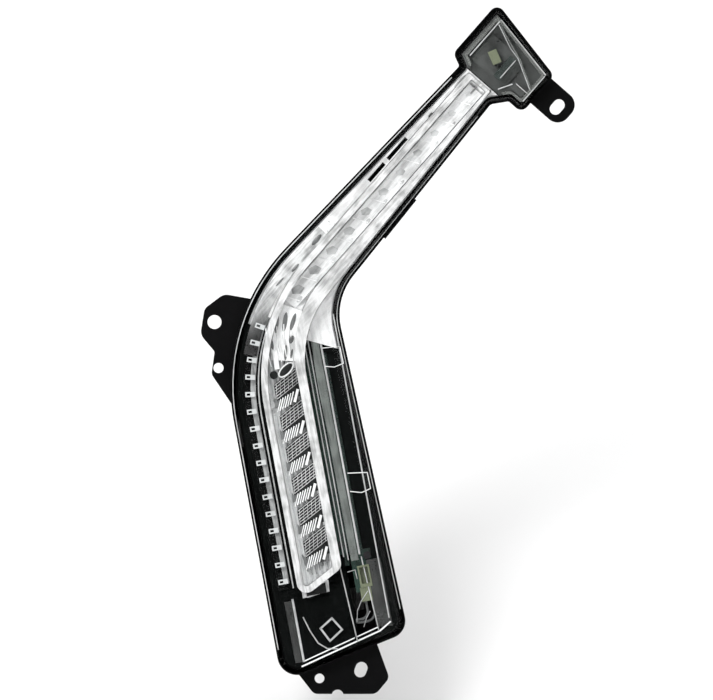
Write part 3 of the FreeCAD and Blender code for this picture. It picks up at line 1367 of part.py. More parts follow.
def make_panel_clips():
    body = new_body("panel_clips")
    left = "(sizes.band_right + sizes.cover_left_gap)"
    right = "(%s - sizes.cover_gap)" % from_right("panel_right_gap")
    low = "(%s + sizes.cover_gap)" % panel_foot
    high = "(-sizes.panel_start - sizes.cover_gap)"
    foot = driver_top
    block(body, "cover", leg_sketch, foot, "sizes.cover_level - %s" % foot, (left, right, low, high))
    wall = "sizes.cover_wall"
    block(body, "cover_inside", leg_sketch, "sizes.cover_level - sizes.cover_thickness",
          "sizes.cover_level", ("%s - 1" % left, "%s - %s" % (right, wall), "%s + %s" % (low, wall),
                                "%s - %s" % (high, wall)), cut=True)
    for name, station in (("first_tab", "sizes.tab_first"), ("last_tab", from_foot("tab_foot_gap"))):
        block(body, name, leg_sketch, "sizes.tab_level - sizes.cover_thickness", "sizes.cover_thickness",
              ("%s - %s" % (right, wall), "%s + 2.6" % right,
               "-%s - sizes.tab_length / 2" % station, "-%s + sizes.tab_length / 2" % station))
    return body


def make_driver_board():
    body = new_body("driver_board")
    block(body, "board", leg_sketch, "sizes.driver_level", "sizes.board_thickness",
          (from_right("driver_left_gap"), from_right("driver_right_gap"),
           "-" + from_foot("driver_foot_gap"), "-sizes.driver_start"))
    octagons(body, "board_holes", leg_sketch, driver_top, "sizes.board_thickness + 1", driver_screws,
             screw_hole, cut=True)
    return body


def make_driver_parts():
    body = new_body("driver_parts")
    chip = leg_sketch(body, "chip_profile", driver_top)
    first = "(-sizes.driver_start - sizes.chip_end_gap)"
    middle = from_right("chip_gap")
    rectangle(chip, middle + " - sizes.chip_width / 2", middle + " + sizes.chip_width / 2",
              first + " - sizes.chip_length / 2", first + " + sizes.chip_length / 2")
    feature = pad(body, "chip", chip, "sizes.chip_height")
    row_of(body, "chips", [feature], chip, "V_Axis", "sizes.chip_count", chip_pitch, back=True)
    coil = centred("sizes.coil_size", "sizes.coil_size", middle, "(%s - %s * 3.5)" % (first, chip_pitch))
    block(body, "coil", leg_sketch, driver_top, "sizes.coil_height", coil)
    return body


header_left = from_right("header_left_gap")
header_right = from_right("header_right_gap")
header_near = from_foot("header_near_gap")


def make_board_header():
    body = new_body("board_header")
    area = (header_left, header_right, "-" + header_near, "-" + from_foot("header_far_gap"))
    block(body, "header", leg_sketch, driver_top, "sizes.header_height", area)
    wall = "sizes.header_wall"
    inner = ("%s + %s" % (header_left, wall), "%s - %s" % (header_right, wall),
             "-%s + 2 * %s" % (header_near, wall), "-%s - %s" % (from_foot("header_far_gap"), wall))
    block(body, "header_inside", leg_sketch, "%s + sizes.header_height" % driver_top,
          "sizes.header_height - 1.2", inner, cut=True)
    return body


plug_level = "(%s + 0.2)" % driver_top


def make_harness_plug():
    body = new_body("harness_plug")
    area = (header_left + " - sizes.plug_margin", header_right + " + sizes.plug_margin",
            "-%s - sizes.plug_length" % header_near, "-" + header_near)
    block(body, "plug", leg_sketch, plug_level, "sizes.plug_height", area)
    return body


def wire_path(points):
    """Straight runs joined by tangent arcs through corner points."""
    radii = []
    for i in range(1, len(points) - 1):
        first, second = points[i] - points[i - 1], points[i + 1] - points[i]
        turn = first.getAngle(second)
        radii.append(0.45 * min(first.Length, second.Length) / math.tan(turn / 2))
    edges = []
    last = points[0]
    for i in range(1, len(points) - 1):
        before = (points[i - 1] - points[i]).normalize()
        after = (points[i + 1] - points[i]).normalize()
        turn = math.pi - before.getAngle(after)
        cut = radii[i - 1] * math.tan(turn / 2)
        start, end = points[i] + before * cut, points[i] + after * cut
        towards = (before + after).normalize()
        rise = radii[i - 1] / math.cos(turn / 2) - radii[i - 1]
        edges.append(Part.LineSegment(last, start).toShape())
        edges.append(Part.Arc(start, points[i] + towards * rise, end).toShape())
        last = end
    edges.append(Part.LineSegment(last, points[-1]).toShape())
    return Part.Wire(edges), radii


def wire_solid(points, diameter):
    """Eight-sided wire along a path, with its volume compared with section times length."""
    path, radii = wire_path(points)
    along = (points[1] - points[0]).normalize()
    side = along.cross(Vector(0, 1, 0)).normalize() * (diameter / 2 / math.cos(math.pi / 8))
    corners = []
    for step in range(9):
        corners.append(points[0] + FreeCAD.Rotation(along, 45 * step + 22.5).multVec(side))
    section = Part.makePolygon(corners)
    wire = path.makePipeShell([section], True, True)
    ideal = Part.Face(section).Area * path.Length
    print("wire", round(path.Length, 1), "mm, radii", [round(radius, 1) for radius in radii],
          "volume share", round(wire.Volume / ideal, 4))
    return wire


def leg_point(x, station, level):
    """Point from its place across and down the leg and its level."""
    spot = leg_place(str(station), str(x))
    return Vector(number(spot[0]), -number(level), number(spot[1]))


def make_supply_wires():
    diameter = number("sizes.wire_diameter")
    middle = "(%s + %s) / 2" % (header_left, header_right)
    start = header_near + " + sizes.plug_length"
    end = from_foot("socket_foot_gap")
    wires = []
    for side, run in (("+", "10"), ("-", "8.4")):
        out = "%s %s 1.7" % (middle, side)
        home = "sizes.socket_offset %s sizes.pin_pitch / 2" % side
        level = plug_level + " + 1.2"
        points = [leg_point(out, start, level),
                  leg_point(out, "%s + %s" % (start, run), level),
                  leg_point(home, "%s + %s" % (start, run), level + " - 0.8"),
                  leg_point(home, end, level + " - 0.4"),
                  leg_point(home, end, "sizes.pin_front_level")]
        wires.append(wire_solid(points, diameter))
    feature = doc.addObject("Part::Feature", "supply_wires")
    feature.Shape = Part.Compound(wires)
    return feature


socket_seat = "(-sizes.tub_depth - sizes.socket_seal_thickness)"
socket_rear = "(%s - sizes.socket_flange_thickness)" % socket_seat
neck_front = "(%s + sizes.socket_neck_length)" % socket_seat


def make_rear_socket():
    body = new_body("rear_socket")
    width, height = "sizes.socket_hole_width", "sizes.socket_hole_height"
    margin = "2 * sizes.socket_flange_margin"
    block(body, "flange", leg_sketch, socket_rear, "sizes.socket_flange_thickness",
          centred("%s + %s" % (width, margin), "%s + %s" % (height, margin)))
    block(body, "neck", leg_sketch, socket_seat + " - 0.5", "sizes.socket_neck_length + 0.5",
          centred("%s - 2 * sizes.socket_fit" % width, "%s - 2 * sizes.socket_fit" % height))
    hook = "%s + 0.1" % floor_level
    block(body, "hooks", leg_sketch, hook, "%s - (%s)" % (neck_front, hook),
          centred("%s + 2 * sizes.socket_hook" % width, "sizes.socket_hole_height / 2"))
    block(body, "shroud", leg_sketch, "%s - sizes.socket_shroud_length" % socket_rear,
          "sizes.socket_shroud_length + 0.5",
          centred("sizes.socket_cavity_width + 2 * sizes.socket_shroud_wall",
                  "sizes.socket_cavity_height + 2 * sizes.socket_shroud_wall"))
    block(body, "cavity", leg_sketch, "%s - sizes.socket_web" % neck_front, "60",
          centred("sizes.socket_cavity_width", "sizes.socket_cavity_height"), cut=True)
    for name, side in (("first_pin_slot", "-"), ("last_pin_slot", "+")):
        block(body, name, leg_sketch, neck_front, "30",
              centred("sizes.pin_width", "sizes.pin_thickness",
                      "(sizes.socket_offset %s sizes.pin_pitch / 2)" % side), cut=True)
    return body


def make_terminal_pins():
    body = new_body("terminal_pins")
    for name, side in (("first_pin", "-"), ("last_pin", "+")):
        block(body, name, leg_sketch, "sizes.pin_rear_level",
              "sizes.pin_front_level - sizes.pin_rear_level",
              centred("sizes.pin_width", "sizes.pin_thickness",
                      "(sizes.socket_offset %s sizes.pin_pitch / 2)" % side))
    return body


def make_socket_seal():
    body = new_body("socket_seal")
    margin = "2 * sizes.socket_flange_margin - 1.6"
    block(body, "seal", leg_sketch, socket_seat, "sizes.socket_seal_thickness",
          centred("sizes.socket_hole_width + %s" % margin, "sizes.socket_hole_height + %s" % margin))
    block(body, "seal_inside", leg_sketch, "-sizes.tub_depth", "sizes.socket_seal_thickness + 1",
          centred("sizes.socket_hole_width", "sizes.socket_hole_height"), cut=True)
    return body


def make_vent_cap():
    body = new_body("vent_cap")
    spot = [("sizes.vent_offset", "-sizes.vent_station")]
    end = "(-sizes.tub_depth - sizes.vent_nipple_length)"
    rounds(body, "cap", leg_sketch, "%s - sizes.vent_cap_top" % end,
           "sizes.vent_cap_top + sizes.vent_cap_skirt", spot, "sizes.vent_cap_diameter")
    rounds(body, "cap_bore", leg_sketch, "%s + sizes.vent_cap_skirt" % end, "sizes.vent_cap_skirt", spot,
           "sizes.vent_nipple_diameter", cut=True)
    return body


def make_screws():
    body = new_body("board_screws")
    rows = (("leg", leg_sketch, leg_screws, board_top), ("arm", arm_sketch, arm_screws, arm_board_top),
            ("driver", leg_sketch, driver_screws, driver_top))
    for name, frame, spots, level in rows:
        octagons(body, name + "_heads", frame, level, "sizes.screw_head_height", spots,
                 "sizes.screw_head_width")
        octagons(body, name + "_shanks", frame, "%s - sizes.screw_length" % level,
                 "sizes.screw_length + sizes.screw_head_height / 2", spots, "sizes.screw_width")
        octagons(body, name + "_drives", frame, "%s + sizes.screw_head_height" % level,
                 "sizes.screw_head_height * 0.6", spots, "sizes.screw_head_width / 2", cut=True)
    return body


head_start = "((sizes.arm_length - sizes.head_joint) + sizes.head_gap)"


def make_head_tray():
    body = new_body("head_tray")
    floor = new_sketch(body, "floor_profile", "sizes.ledge_level")
    lamp_outline(floor, tray_inset)
    pad(body, "wall", floor, "sizes.head_wall_top - sizes.ledge_level")
    inside = new_sketch(body, "inside_profile", "sizes.head_wall_top")
    lamp_outline(inside, "sizes.head_wall_inset", head_left="sizes.head_left_wall_inset")
    pocket(body, "inside", inside, "sizes.head_wall_top - %s" % seat_level)
    cut_before_station(body, "near_end", "sizes.head_wall_top + 1", "sizes.head_wall_top", head_start)
    block(body, "dark_block", arm_sketch, seat_level + " - 0.2",
          "sizes.head_block_top - %s + 0.2" % seat_level,
          ("sizes.head_block_left", "sizes.head_block_right", past_head("head_block_low"),
           past_head("head_block_high")))
    return body


def make_head_frame():
    body = new_body("head_frame")
    outer = new_sketch(body, "frame_outer", "sizes.head_wall_top")
    left = "sizes.head_frame_left_inset"
    lamp_outline(outer, "sizes.head_frame_inset", head_left=left, shoulder=left)
    pad(body, "frame", outer, "sizes.head_frame_top - sizes.head_wall_top")
    inner = new_sketch(body, "frame_inner", "sizes.head_frame_top")
    lamp_outline(inner, "sizes.head_wall_inset", head_left="sizes.head_left_wall_inset",
                 shoulder="sizes.head_left_wall_inset")
    pocket(body, "frame_inside", inner, "sizes.head_frame_top")
    cut_before_station(body, "near_end", "sizes.head_frame_top + 1", "sizes.head_frame_top",
                       past_head("head_frame_rise"))
    bar = arm_sketch(body, "bar_profile", "sizes.head_bar_level")
    ends = [("sizes.head_left_wall_inset - sizes.head_left_reach - 0.5", past_head("head_bar_left_rise")),
            ("sizes.head_bar_middle", past_head("head_bar_middle_rise")),
            ("sizes.head_right_reach - sizes.head_wall_inset + 0.5", past_head("head_bar_right_rise"))]
    upper = [(x, y + " + sizes.head_bar_width") for x, y in reversed(ends)]
    polygon(bar, ends + upper)
    pad(body, "bar", bar, "sizes.head_bar_height")
    return body


def make_head_board():
    body = new_body("head_board")
    block(body, "board", arm_sketch, seat_level, "sizes.board_thickness",
          ("sizes.head_board_left", "sizes.head_board_right", past_head("head_board_low"),
           past_head("head_board_high")))
    return body


head_board_top = "(%s + sizes.board_thickness)" % seat_level


def make_head_connector():
    body = new_body("head_connector")
    x, z = arm_place(past_head("head_plug_rise"), "sizes.head_plug_offset")
    sketch = turned_sketch(body, "connector_profile", "XZ_Plane", (x, z, head_board_top), (0, 0, -1),
                           "90 - sizes.arm_tilt + sizes.head_plug_turn")
    rectangle(sketch, *centred("sizes.head_plug_width", "sizes.head_plug_length", "0", "0"))
    pad(body, "connector", sketch, "sizes.head_plug_height")
    return body


def make_head_prism():
    body = new_body("head_prism")
    block(body, "prism", arm_sketch, head_board_top, "sizes.prism_height",
          ("sizes.prism_left", "sizes.prism_right", past_head("prism_low"), past_head("prism_high")))
    return body


makers = [make_rear_housing, make_lens, make_seal, make_heat_spreader, make_leg_board, make_arm_board,
          make_leg_leds, make_arm_leds, make_leg_reflector, make_arm_reflector, make_inner_optic,
          make_lower_bezel, make_edge_strip, make_panel_clips, make_driver_board, make_driver_parts,
          make_board_header, make_harness_plug, make_supply_wires, make_rear_socket,
          make_terminal_pins, make_socket_seal, make_vent_cap, make_screws, make_head_tray,
          make_head_frame, make_head_board, make_head_connector, make_head_prism]
parts = []
for maker in makers:
    parts.append(maker())
    doc.recompute()
check(parts)
os.makedirs("parts", exist_ok=True)
for item in parts:
    item.Shape.exportStep("parts/%s.step" % item.Label)
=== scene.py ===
import bpy
import bmesh
import json
import math
from mathutils import Vector, Matrix


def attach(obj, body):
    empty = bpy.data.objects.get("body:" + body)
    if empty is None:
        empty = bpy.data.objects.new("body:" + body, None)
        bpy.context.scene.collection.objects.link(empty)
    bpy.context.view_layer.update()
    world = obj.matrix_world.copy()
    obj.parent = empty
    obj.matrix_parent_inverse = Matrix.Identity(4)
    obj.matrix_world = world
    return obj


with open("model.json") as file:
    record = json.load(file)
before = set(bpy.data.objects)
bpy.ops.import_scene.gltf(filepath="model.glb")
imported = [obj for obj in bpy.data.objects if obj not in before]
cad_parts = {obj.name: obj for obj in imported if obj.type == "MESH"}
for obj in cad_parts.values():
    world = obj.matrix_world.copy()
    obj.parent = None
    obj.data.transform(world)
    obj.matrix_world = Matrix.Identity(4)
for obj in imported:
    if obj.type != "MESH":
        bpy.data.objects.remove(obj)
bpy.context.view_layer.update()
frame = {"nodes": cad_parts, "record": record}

# Pieces are laid out on a bench: x to the right, y up the lamp, z towards the viewer,
# in millimetres, and standUp turns a finished piece into the frame.
mm = 0.001
scene = bpy.context.scene
nodes = frame["nodes"]
bpy.ops.object.select_all(action="DESELECT")

lamp = {
    "kneeX": 30.5, "kneeY": 4.6,        # knee point
    "legTurn": 10.46, "armTilt": 48.8,  # degrees
}

photoView = {
    "midX": 71.0, "midZ": -14.0,
    "width": 356.5, "distance": 1500.0,
}
camData = bpy.data.cameras.new("cam")
camData.type = "ORTHO"
camData.ortho_scale = photoView["width"] * mm
camera = bpy.data.objects.new("cam", camData)
camera.location = (photoView["midX"] * mm, -photoView["distance"] * mm, photoView["midZ"] * mm)
camera.rotation_euler = (math.radians(90), 0, 0)
scene.collection.objects.link(camera)
scene.camera = camera
scene.view_settings.view_transform = "Standard"
print("camera ready")


# Nodes: a plain value is set on its socket, and another node's output is linked to it
def feed(tree, socket, value):
    if isinstance(value, bpy.types.NodeSocket):
        tree.links.new(value, socket)
    else:
        socket.default_value = value


def mathOf(tree, operation, *values):
    node = tree.nodes.new("ShaderNodeMath")
    node.operation = operation
    for socket, value in zip(node.inputs, values):
        feed(tree, socket, value)
    return node.outputs["Value"]


def rangeOf(tree, value, start, end, low=0.0, high=1.0, soft=False):
    # carries the values from start to end over to those from low to high
    node = tree.nodes.new("ShaderNodeMapRange")
    node.interpolation_type = "SMOOTHSTEP" if soft else "LINEAR"
    feed(tree, node.inputs["Value"], value)
    for label, item in (("From Min", start), ("From Max", end), ("To Min", low), ("To Max", high)):
        feed(tree, node.inputs[label], item)
    return node.outputs["Result"]


def noiseOf(tree, scale, place=None, detail=2.0):
    node = tree.nodes.new("ShaderNodeTexNoise")
    feed(tree, node.inputs["Scale"], scale)
    feed(tree, node.inputs["Detail"], detail)
    if place is not None:
        feed(tree, node.inputs["Vector"], place)
    return node.outputs["Fac"]


def mixOf(tree, share, first, second):
    node = tree.nodes.new("ShaderNodeMixShader")
    feed(tree, node.inputs["Fac"], share)
    feed(tree, node.inputs[1], first)
    feed(tree, node.inputs[2], second)
    return node


def splitOf(tree, coordinate):
    place = tree.nodes.new("ShaderNodeTexCoord")
    split = tree.nodes.new("ShaderNodeSeparateXYZ")
    feed(tree, split.inputs["Vector"], place.outputs[coordinate])
    return split.outputs


# Studio: white all round, with a darker front for the reflections
studio = {
    "daylight": 0.90, "glossFront": 0.04, "glossTop": 0.88, "glossSide": 0.64,
    "rise": (-0.15, 0.75), "aside": (0.25, 0.95),       # where the dark front turns light, up and aside
    "key": ((-0.36, -0.92, 0.54), (0.06, 0.0, -0.05), 0.42, 8.0),       # place, aim, size and power
    "top": ((-0.1, -0.7, 1.1), (0.07, 0.0, 0.0), 0.6, 2.0),
}
world = bpy.data.worlds.new("studio")
scene.world = world
world.use_nodes = True
sky = world.node_tree


def whiteLight(node, strength):
    node.inputs["Color"].default_value = (1, 1, 1, 1)
    feed(sky, node.inputs["Strength"], strength)
    return node.outputs["Background"]


way = splitOf(sky, "Generated")
front = rangeOf(sky, way["Z"], *studio["rise"], studio["glossFront"], studio["glossTop"], soft=True)
flank = rangeOf(sky, mathOf(sky, "ABSOLUTE", way["X"]), *studio["aside"], 0.0, studio["glossSide"])
daylight = whiteLight(sky.nodes["Background"], studio["daylight"])
gloss = whiteLight(sky.nodes.new("ShaderNodeBackground"), mathOf(sky, "ADD", front, flank))
seen = whiteLight(sky.nodes.new("ShaderNodeBackground"), 1.0)
ray = sky.nodes.new("ShaderNodeLightPath").outputs
lit = mixOf(sky, ray["Is Glossy Ray"], daylight, gloss)
whole = mixOf(sky, ray["Is Camera Ray"], lit.outputs["Shader"], seen)
feed(sky, sky.nodes["World Output"].inputs["Surface"], whole.outputs["Shader"])


def addLight(name, place, aim, size, power):
    data = bpy.data.lights.new(name, "AREA")
    data.shape = "DISK"
    data.size = size
    data.energy = power
    light = bpy.data.objects.new(name, data)
    light.location = place
    light.rotation_euler = (Vector(aim) - Vector(place)).to_track_quat("-Z", "Y").to_euler()
    scene.collection.objects.link(light)


addLight("key", *studio["key"])
addLight("top", *studio["top"])
print("studio ready")


# Shader groups used by more than one finish: inputs with their values, outputs with their kinds
def newGroup(name, inputs, outputs):
    group = bpy.data.node_groups.new(name, "ShaderNodeTree")
    for label, value in inputs.items():
        socket = group.interface.new_socket(label, in_out="INPUT", socket_type="NodeSocketFloat")
        socket.default_value = value
    for label, kind in outputs.items():
        group.interface.new_socket(label, in_out="OUTPUT", socket_type=kind)
    return group, group.nodes.new("NodeGroupInput").outputs, group.nodes.new("NodeGroupOutput").inputs


def placeGroup(tree, group, values):
    node = tree.nodes.new("ShaderNodeGroup")
    node.node_tree = group
    for label, value in values.items():
        node.inputs[label].default_value = value
    return node.outputs


def makeMouldGrain():
    # fine grain with larger soft clouds, for tone, gloss and a slight bump
    group, source, out = newGroup(
        "mouldGrain", {"Scale": 900.0, "Spread": 0.2, "Depth": 0.1, "Gloss": 0.4},
        {"Tone": "NodeSocketFloat", "Roughness": "NodeSocketFloat", "Normal": "NodeSocketVector"})
    place = group.nodes.new("ShaderNodeTexCoord").outputs["Object"]
    grain = noiseOf(group, source["Scale"], place, detail=3)
    cloud = noiseOf(group, 45, place)
    mixed = mathOf(group, "MULTIPLY_ADD", grain, 0.5, mathOf(group, "MULTIPLY", cloud, 0.5))
    low = mathOf(group, "SUBTRACT", 1.0, source["Spread"])
    high = mathOf(group, "ADD", 1.0, source["Spread"])
    tone = rangeOf(group, mixed, 0.3, 0.7, low, high)
    bump = group.nodes.new("ShaderNodeBump")
    bump.inputs["Distance"].default_value = 0.2 * mm
    feed(group, bump.inputs["Height"], grain)
    feed(group, bump.inputs["Strength"], source["Depth"])
    feed(group, out["Tone"], tone)
    feed(group, out["Roughness"], mathOf(group, "MULTIPLY", tone, source["Gloss"]))
    feed(group, out["Normal"], bump.outputs["Normal"])
    return group


def makeDrawLines():
    # soft streaks drawn out along one direction, as in pressed or metallised surfaces
    group, source, out = newGroup(
        "drawLines", {"Turn": 0.0, "Fine": 500.0, "Low": 0.7}, {"Tone": "NodeSocketFloat"})
    turn = group.nodes.new("ShaderNodeVectorRotate")
    turn.rotation_type = "Y_AXIS"
    feed(group, turn.inputs["Vector"], group.nodes.new("ShaderNodeTexCoord").outputs["Object"])
    feed(group, turn.inputs["Angle"], source["Turn"])
    stretch = group.nodes.new("ShaderNodeVectorMath")
    stretch.operation = "MULTIPLY"
    feed(group, stretch.inputs[0], turn.outputs["Vector"])
    feed(group, stretch.inputs[1], (1.0, 1.0, 0.12))
    streak = noiseOf(group, source["Fine"], stretch.outputs["Vector"], detail=4)
    patch = noiseOf(group, 130, turn.outputs["Vector"])
    both = mathOf(group, "ADD", streak, patch)
    feed(group, out["Tone"], rangeOf(group, both, 0.75, 1.15, source["Low"]))
    return group


mouldGrain = makeMouldGrain()
drawLines = makeDrawLines()


def newMaterial(name):
    material = bpy.data.materials.new(name)
    material.use_nodes = True
    return material, material.node_tree, material.node_tree.nodes["Principled BSDF"]


def toned(tree, colour, tone):
    # a colour, plain or from another node, times the tone
    node = tree.nodes.new("ShaderNodeVectorMath")
    node.operation = "SCALE"
    feed(tree, node.inputs[0], colour)
    feed(tree, node.inputs["Scale"], tone)
    return node.outputs["Vector"]


def mouldedPlastic(name, colour, gloss, spread=0.2, depth=0.12, scale=1400, shine=0.5):
    material, tree, shader = newMaterial(name)
    grain = placeGroup(tree, mouldGrain,
                       {"Scale": scale, "Spread": spread, "Depth": depth, "Gloss": gloss})
    feed(tree, shader.inputs["Base Color"], toned(tree, colour, grain["Tone"]))
    feed(tree, shader.inputs["Roughness"], grain["Roughness"])
    feed(tree, shader.inputs["Normal"], grain["Normal"])
    shader.inputs["Specular IOR Level"].default_value = shine
    return material


def platedMetal(name, colour, gloss, spread=0.12, depth=0.06, scale=700, metallic=1.0):
    material = mouldedPlastic(name, colour, gloss, spread, depth, scale)
    material.node_tree.nodes["Principled BSDF"].inputs["Metallic"].default_value = metallic
    return material


def clearPlastic(name, tint, film, haze, gloss=0.16, spread=0.15, scale=260, edge=1.0):
    # film: how much of the surface shows, face on and at a glancing angle, which edge narrows
    material, tree, shader = newMaterial(name)
    grain = placeGroup(tree, mouldGrain, {"Scale": scale, "Spread": spread, "Gloss": gloss})
    feed(tree, shader.inputs["Base Color"], toned(tree, haze, grain["Tone"]))
    feed(tree, shader.inputs["Roughness"], grain["Roughness"])
    through = tree.nodes.new("ShaderNodeBsdfTransparent")
    through.inputs["Color"].default_value = (*tint, 1)
    weight = tree.nodes.new("ShaderNodeLayerWeight")
    weight.inputs["Blend"].default_value = 0.30
    share = rangeOf(tree, mathOf(tree, "POWER", weight.outputs["Facing"], edge), 0.0, 1.0, *film)
    mix = mixOf(tree, share, through.outputs["BSDF"], shader.outputs["BSDF"])
    mix.name = "film"
    feed(tree, tree.nodes["Material Output"].inputs["Surface"], mix.outputs["Shader"])
    return material


def darken(material, tone):
    # the colour that a finished material has, times the tone
    tree = material.node_tree
    colour = tree.nodes["Principled BSDF"].inputs["Base Color"]
    feed(tree, colour, toned(tree, colour.links[0].from_socket, tone))


def paintedTeethHighlight(material, low, high, share, least):
    # the strip's teeth rise from the level low to the level high; their raised tops get a painted
    # highlight, showing more film in full colour, and the film below them is darker
    tree = material.node_tree
    rise = rangeOf(tree, splitOf(tree, "Object")["Y"], -low * mm, -high * mm, 0.0, share)
    film = tree.nodes["film"].inputs["Fac"]
    feed(tree, film, mathOf(tree, "MAXIMUM", film.links[0].from_socket, rise))
    darken(material, rangeOf(tree, rise, 0.0, share, least))


def fadeDown(material, low, high, least):
    # darkens a finished material from the height high down to the height low
    tree = material.node_tree
    height = splitOf(tree, "Object")["Z"]
    darken(material, rangeOf(tree, height, low * mm, high * mm, least, soft=True))


def drawnOut(material, low, fine=500):
    # streaks in place of the grain's tone, along the leg below the knee and the arm above it
    tree = material.node_tree
    runs = [placeGroup(tree, drawLines, {"Turn": math.radians(turn), "Fine": fine, "Low": low})
            for turn in (lamp["legTurn"], lamp["armTilt"] - 90)]
    tone = tree.nodes.new("ShaderNodeMix")
    feed(tree, tone.inputs["Factor"], rangeOf(tree, splitOf(tree, "Object")["Z"],
                                              (lamp["kneeY"] - 18) * mm, (lamp["kneeY"] + 12) * mm))
    feed(tree, tone.inputs["A"], runs[0]["Tone"])
    feed(tree, tone.inputs["B"], runs[1]["Tone"])
    colour = tree.nodes["Principled BSDF"].inputs["Base Color"].links[0].from_node
    feed(tree, colour.inputs["Scale"], tone.outputs["Result"])
    return material


# Finish of each material slot: colour, then roughness
finish = {
    "housing_black": mouldedPlastic("housingBlack", (0.0022, 0.0022, 0.0025), 0.42,
                                    depth=0.04, shine=0.055),
    "lens_clear": clearPlastic("lensClear", (0.99, 0.99, 0.99), (0.0, 0.42), (0.10, 0.104, 0.104),
                               edge=7.0),
    "seal_rubber": mouldedPlastic("sealRubber", (0.012, 0.012, 0.012), 0.8),
    "plate_aluminium": platedMetal("plateAluminium", (0.75, 0.75, 0.76), 0.4),
    "board_green": mouldedPlastic("boardGreen", (0.012, 0.045, 0.032), 0.35, 0.4),
    "light_chip": mouldedPlastic("lightChip", (0.85, 0.82, 0.55), 0.4),
    "bright_metal": platedMetal("brightMetal", (0.90, 0.91, 0.91), 0.20, metallic=0.55),
    "optic_clear": clearPlastic("opticClear", (0.9, 0.9, 0.9), (0.72, 0.95), (0.92, 0.93, 0.93), 0.12),
    "trim_black": mouldedPlastic("trimBlack", (0.0046, 0.0052, 0.0051), 0.60,
                                 depth=0.02, scale=420, shine=0.0),
    "strip_clear": clearPlastic("stripClear", (0.9, 0.91, 0.91), (0.05, 0.85), (0.62, 0.64, 0.64)),
    "connector_beige": mouldedPlastic("connectorBeige", (0.13, 0.15, 0.09), 0.5),
    "plug_black": mouldedPlastic("plugBlack", (0.015, 0.015, 0.015), 0.5),
    "chip_black": mouldedPlastic("chipBlack", (0.03, 0.03, 0.03), 0.4),
    "wire_jacket": mouldedPlastic("wireJacket", (0.10, 0.105, 0.105), 0.4),
    "pin_metal": platedMetal("pinMetal", (0.8, 0.72, 0.5), 0.25),
    "screw_steel": platedMetal("screwSteel", (0.05, 0.05, 0.052), 0.35),
    "frame_white": mouldedPlastic("frameWhite", (0.82, 0.83, 0.82), 0.3, 0.08),
}
drawnOut(finish["optic_clear"], 0.48, 900)
# painted highlight on the strip's clear teeth
paintedTeethHighlight(finish["strip_clear"], 13.0, 13.6, 0.85, 0.2)

# Nodes with a finish of their own
armSilver = drawnOut(platedMetal("armSilver", (0.96, 0.97, 0.97), 0.30, metallic=0.35), 0.62)
coverClear = clearPlastic("coverClear", (0.85, 0.9, 0.88), (0.12, 0.9), (0.20, 0.24, 0.23))
frameClear = clearPlastic("frameClear", (0.80, 0.81, 0.80), (0.22, 0.85), (0.50, 0.52, 0.50))
smokeTray = mouldedPlastic("smokeTray", (0.050, 0.054, 0.052), 0.5, 0.5, scale=160)
own = {
    "arm_reflector": armSilver, "panel_clips": coverClear, "head_prism": coverClear,
    "head_frame": frameClear, "head_tray": smokeTray, "head_board": smokeTray,
}


def selectOnly(piece):
    bpy.ops.object.select_all(action="DESELECT")
    piece.select_set(True)
    bpy.context.view_layer.objects.active = piece


slotOf = {row["node"]: row["material_slot"] for row in frame["record"]["subparts"]}
for name, node in nodes.items():
    node.data.materials.clear()
    node.data.materials.append(own.get(name, finish[slotOf[name]]))
    selectOnly(node)
    bpy.ops.object.shade_smooth_by_angle(angle=math.radians(30))
print("CAD nodes finished")


# Places on the bench
def legSpot(across, down):
    turn = math.radians(lamp["legTurn"])
    x = lamp["kneeX"] + down * math.sin(turn) + across * math.cos(turn)
    y = lamp["kneeY"] - down * math.cos(turn) + across * math.sin(turn)
    return Vector((x, y, 0.0))


def armSpot(across, up):
    tilt = math.radians(lamp["armTilt"])
    x = lamp["kneeX"] + up * math.cos(tilt) + across * math.sin(tilt)
    y = lamp["kneeY"] + up * math.sin(tilt) - across * math.cos(tilt)
    return Vector((x, y, 0.0))


def bentPath(leg, arm, radius, down, up, steps=14):
    # leg and arm: (offset across, lean in degrees); the two lines meet in an arc
    legWay = Matrix.Rotation(math.radians(90 + lamp["legTurn"] + leg[1]), 2) @ Vector((1, 0))
    armWay = Matrix.Rotation(math.radians(lamp["armTilt"] + arm[1]), 2) @ Vector((1, 0))
    kneePoint = Vector((lamp["kneeX"], lamp["kneeY"]))
    legBase = kneePoint + Vector((legWay.y, -legWay.x)) * leg[0]
    armBase = kneePoint + Vector((armWay.y, -armWay.x)) * arm[0]
    cross = legWay.x * armWay.y - legWay.y * armWay.x
    gap = armBase - legBase
    along = (gap.x * armWay.y - gap.y * armWay.x) / cross
    corner = legBase + legWay * along
    turn = legWay.angle(armWay)
    reach = radius * math.tan(turn / 2)
    start = corner - legWay * reach
    centre = start + Vector((legWay.y, -legWay.x)) * radius
    # the arc is cut where down or up ends inside it
    path = [legBase - legWay * down] if down > (legBase - start).dot(legWay) else []
    for i in range(steps + 1):
        spot = centre + Matrix.Rotation(-turn * i / steps, 2) @ (start - centre)
        if (legBase - spot).dot(legWay) <= down and (spot - armBase).dot(armWay) <= up:
            path.append(spot)
    if up > (corner + armWay * reach - armBase).dot(armWay):
        path.append(armBase + armWay * up)
    return path


def standUp(piece, material, smooth=35):
    selectOnly(piece)
    piece.rotation_euler = (math.radians(90), 0, 0)
    piece.scale = (mm, mm, mm)
    bpy.ops.object.transform_apply(location=True, rotation=True, scale=True)
    piece.data.materials.clear()
    piece.data.materials.append(material)
    bpy.ops.object.shade_smooth_by_angle(angle=math.radians(smooth))
    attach(piece, "root")


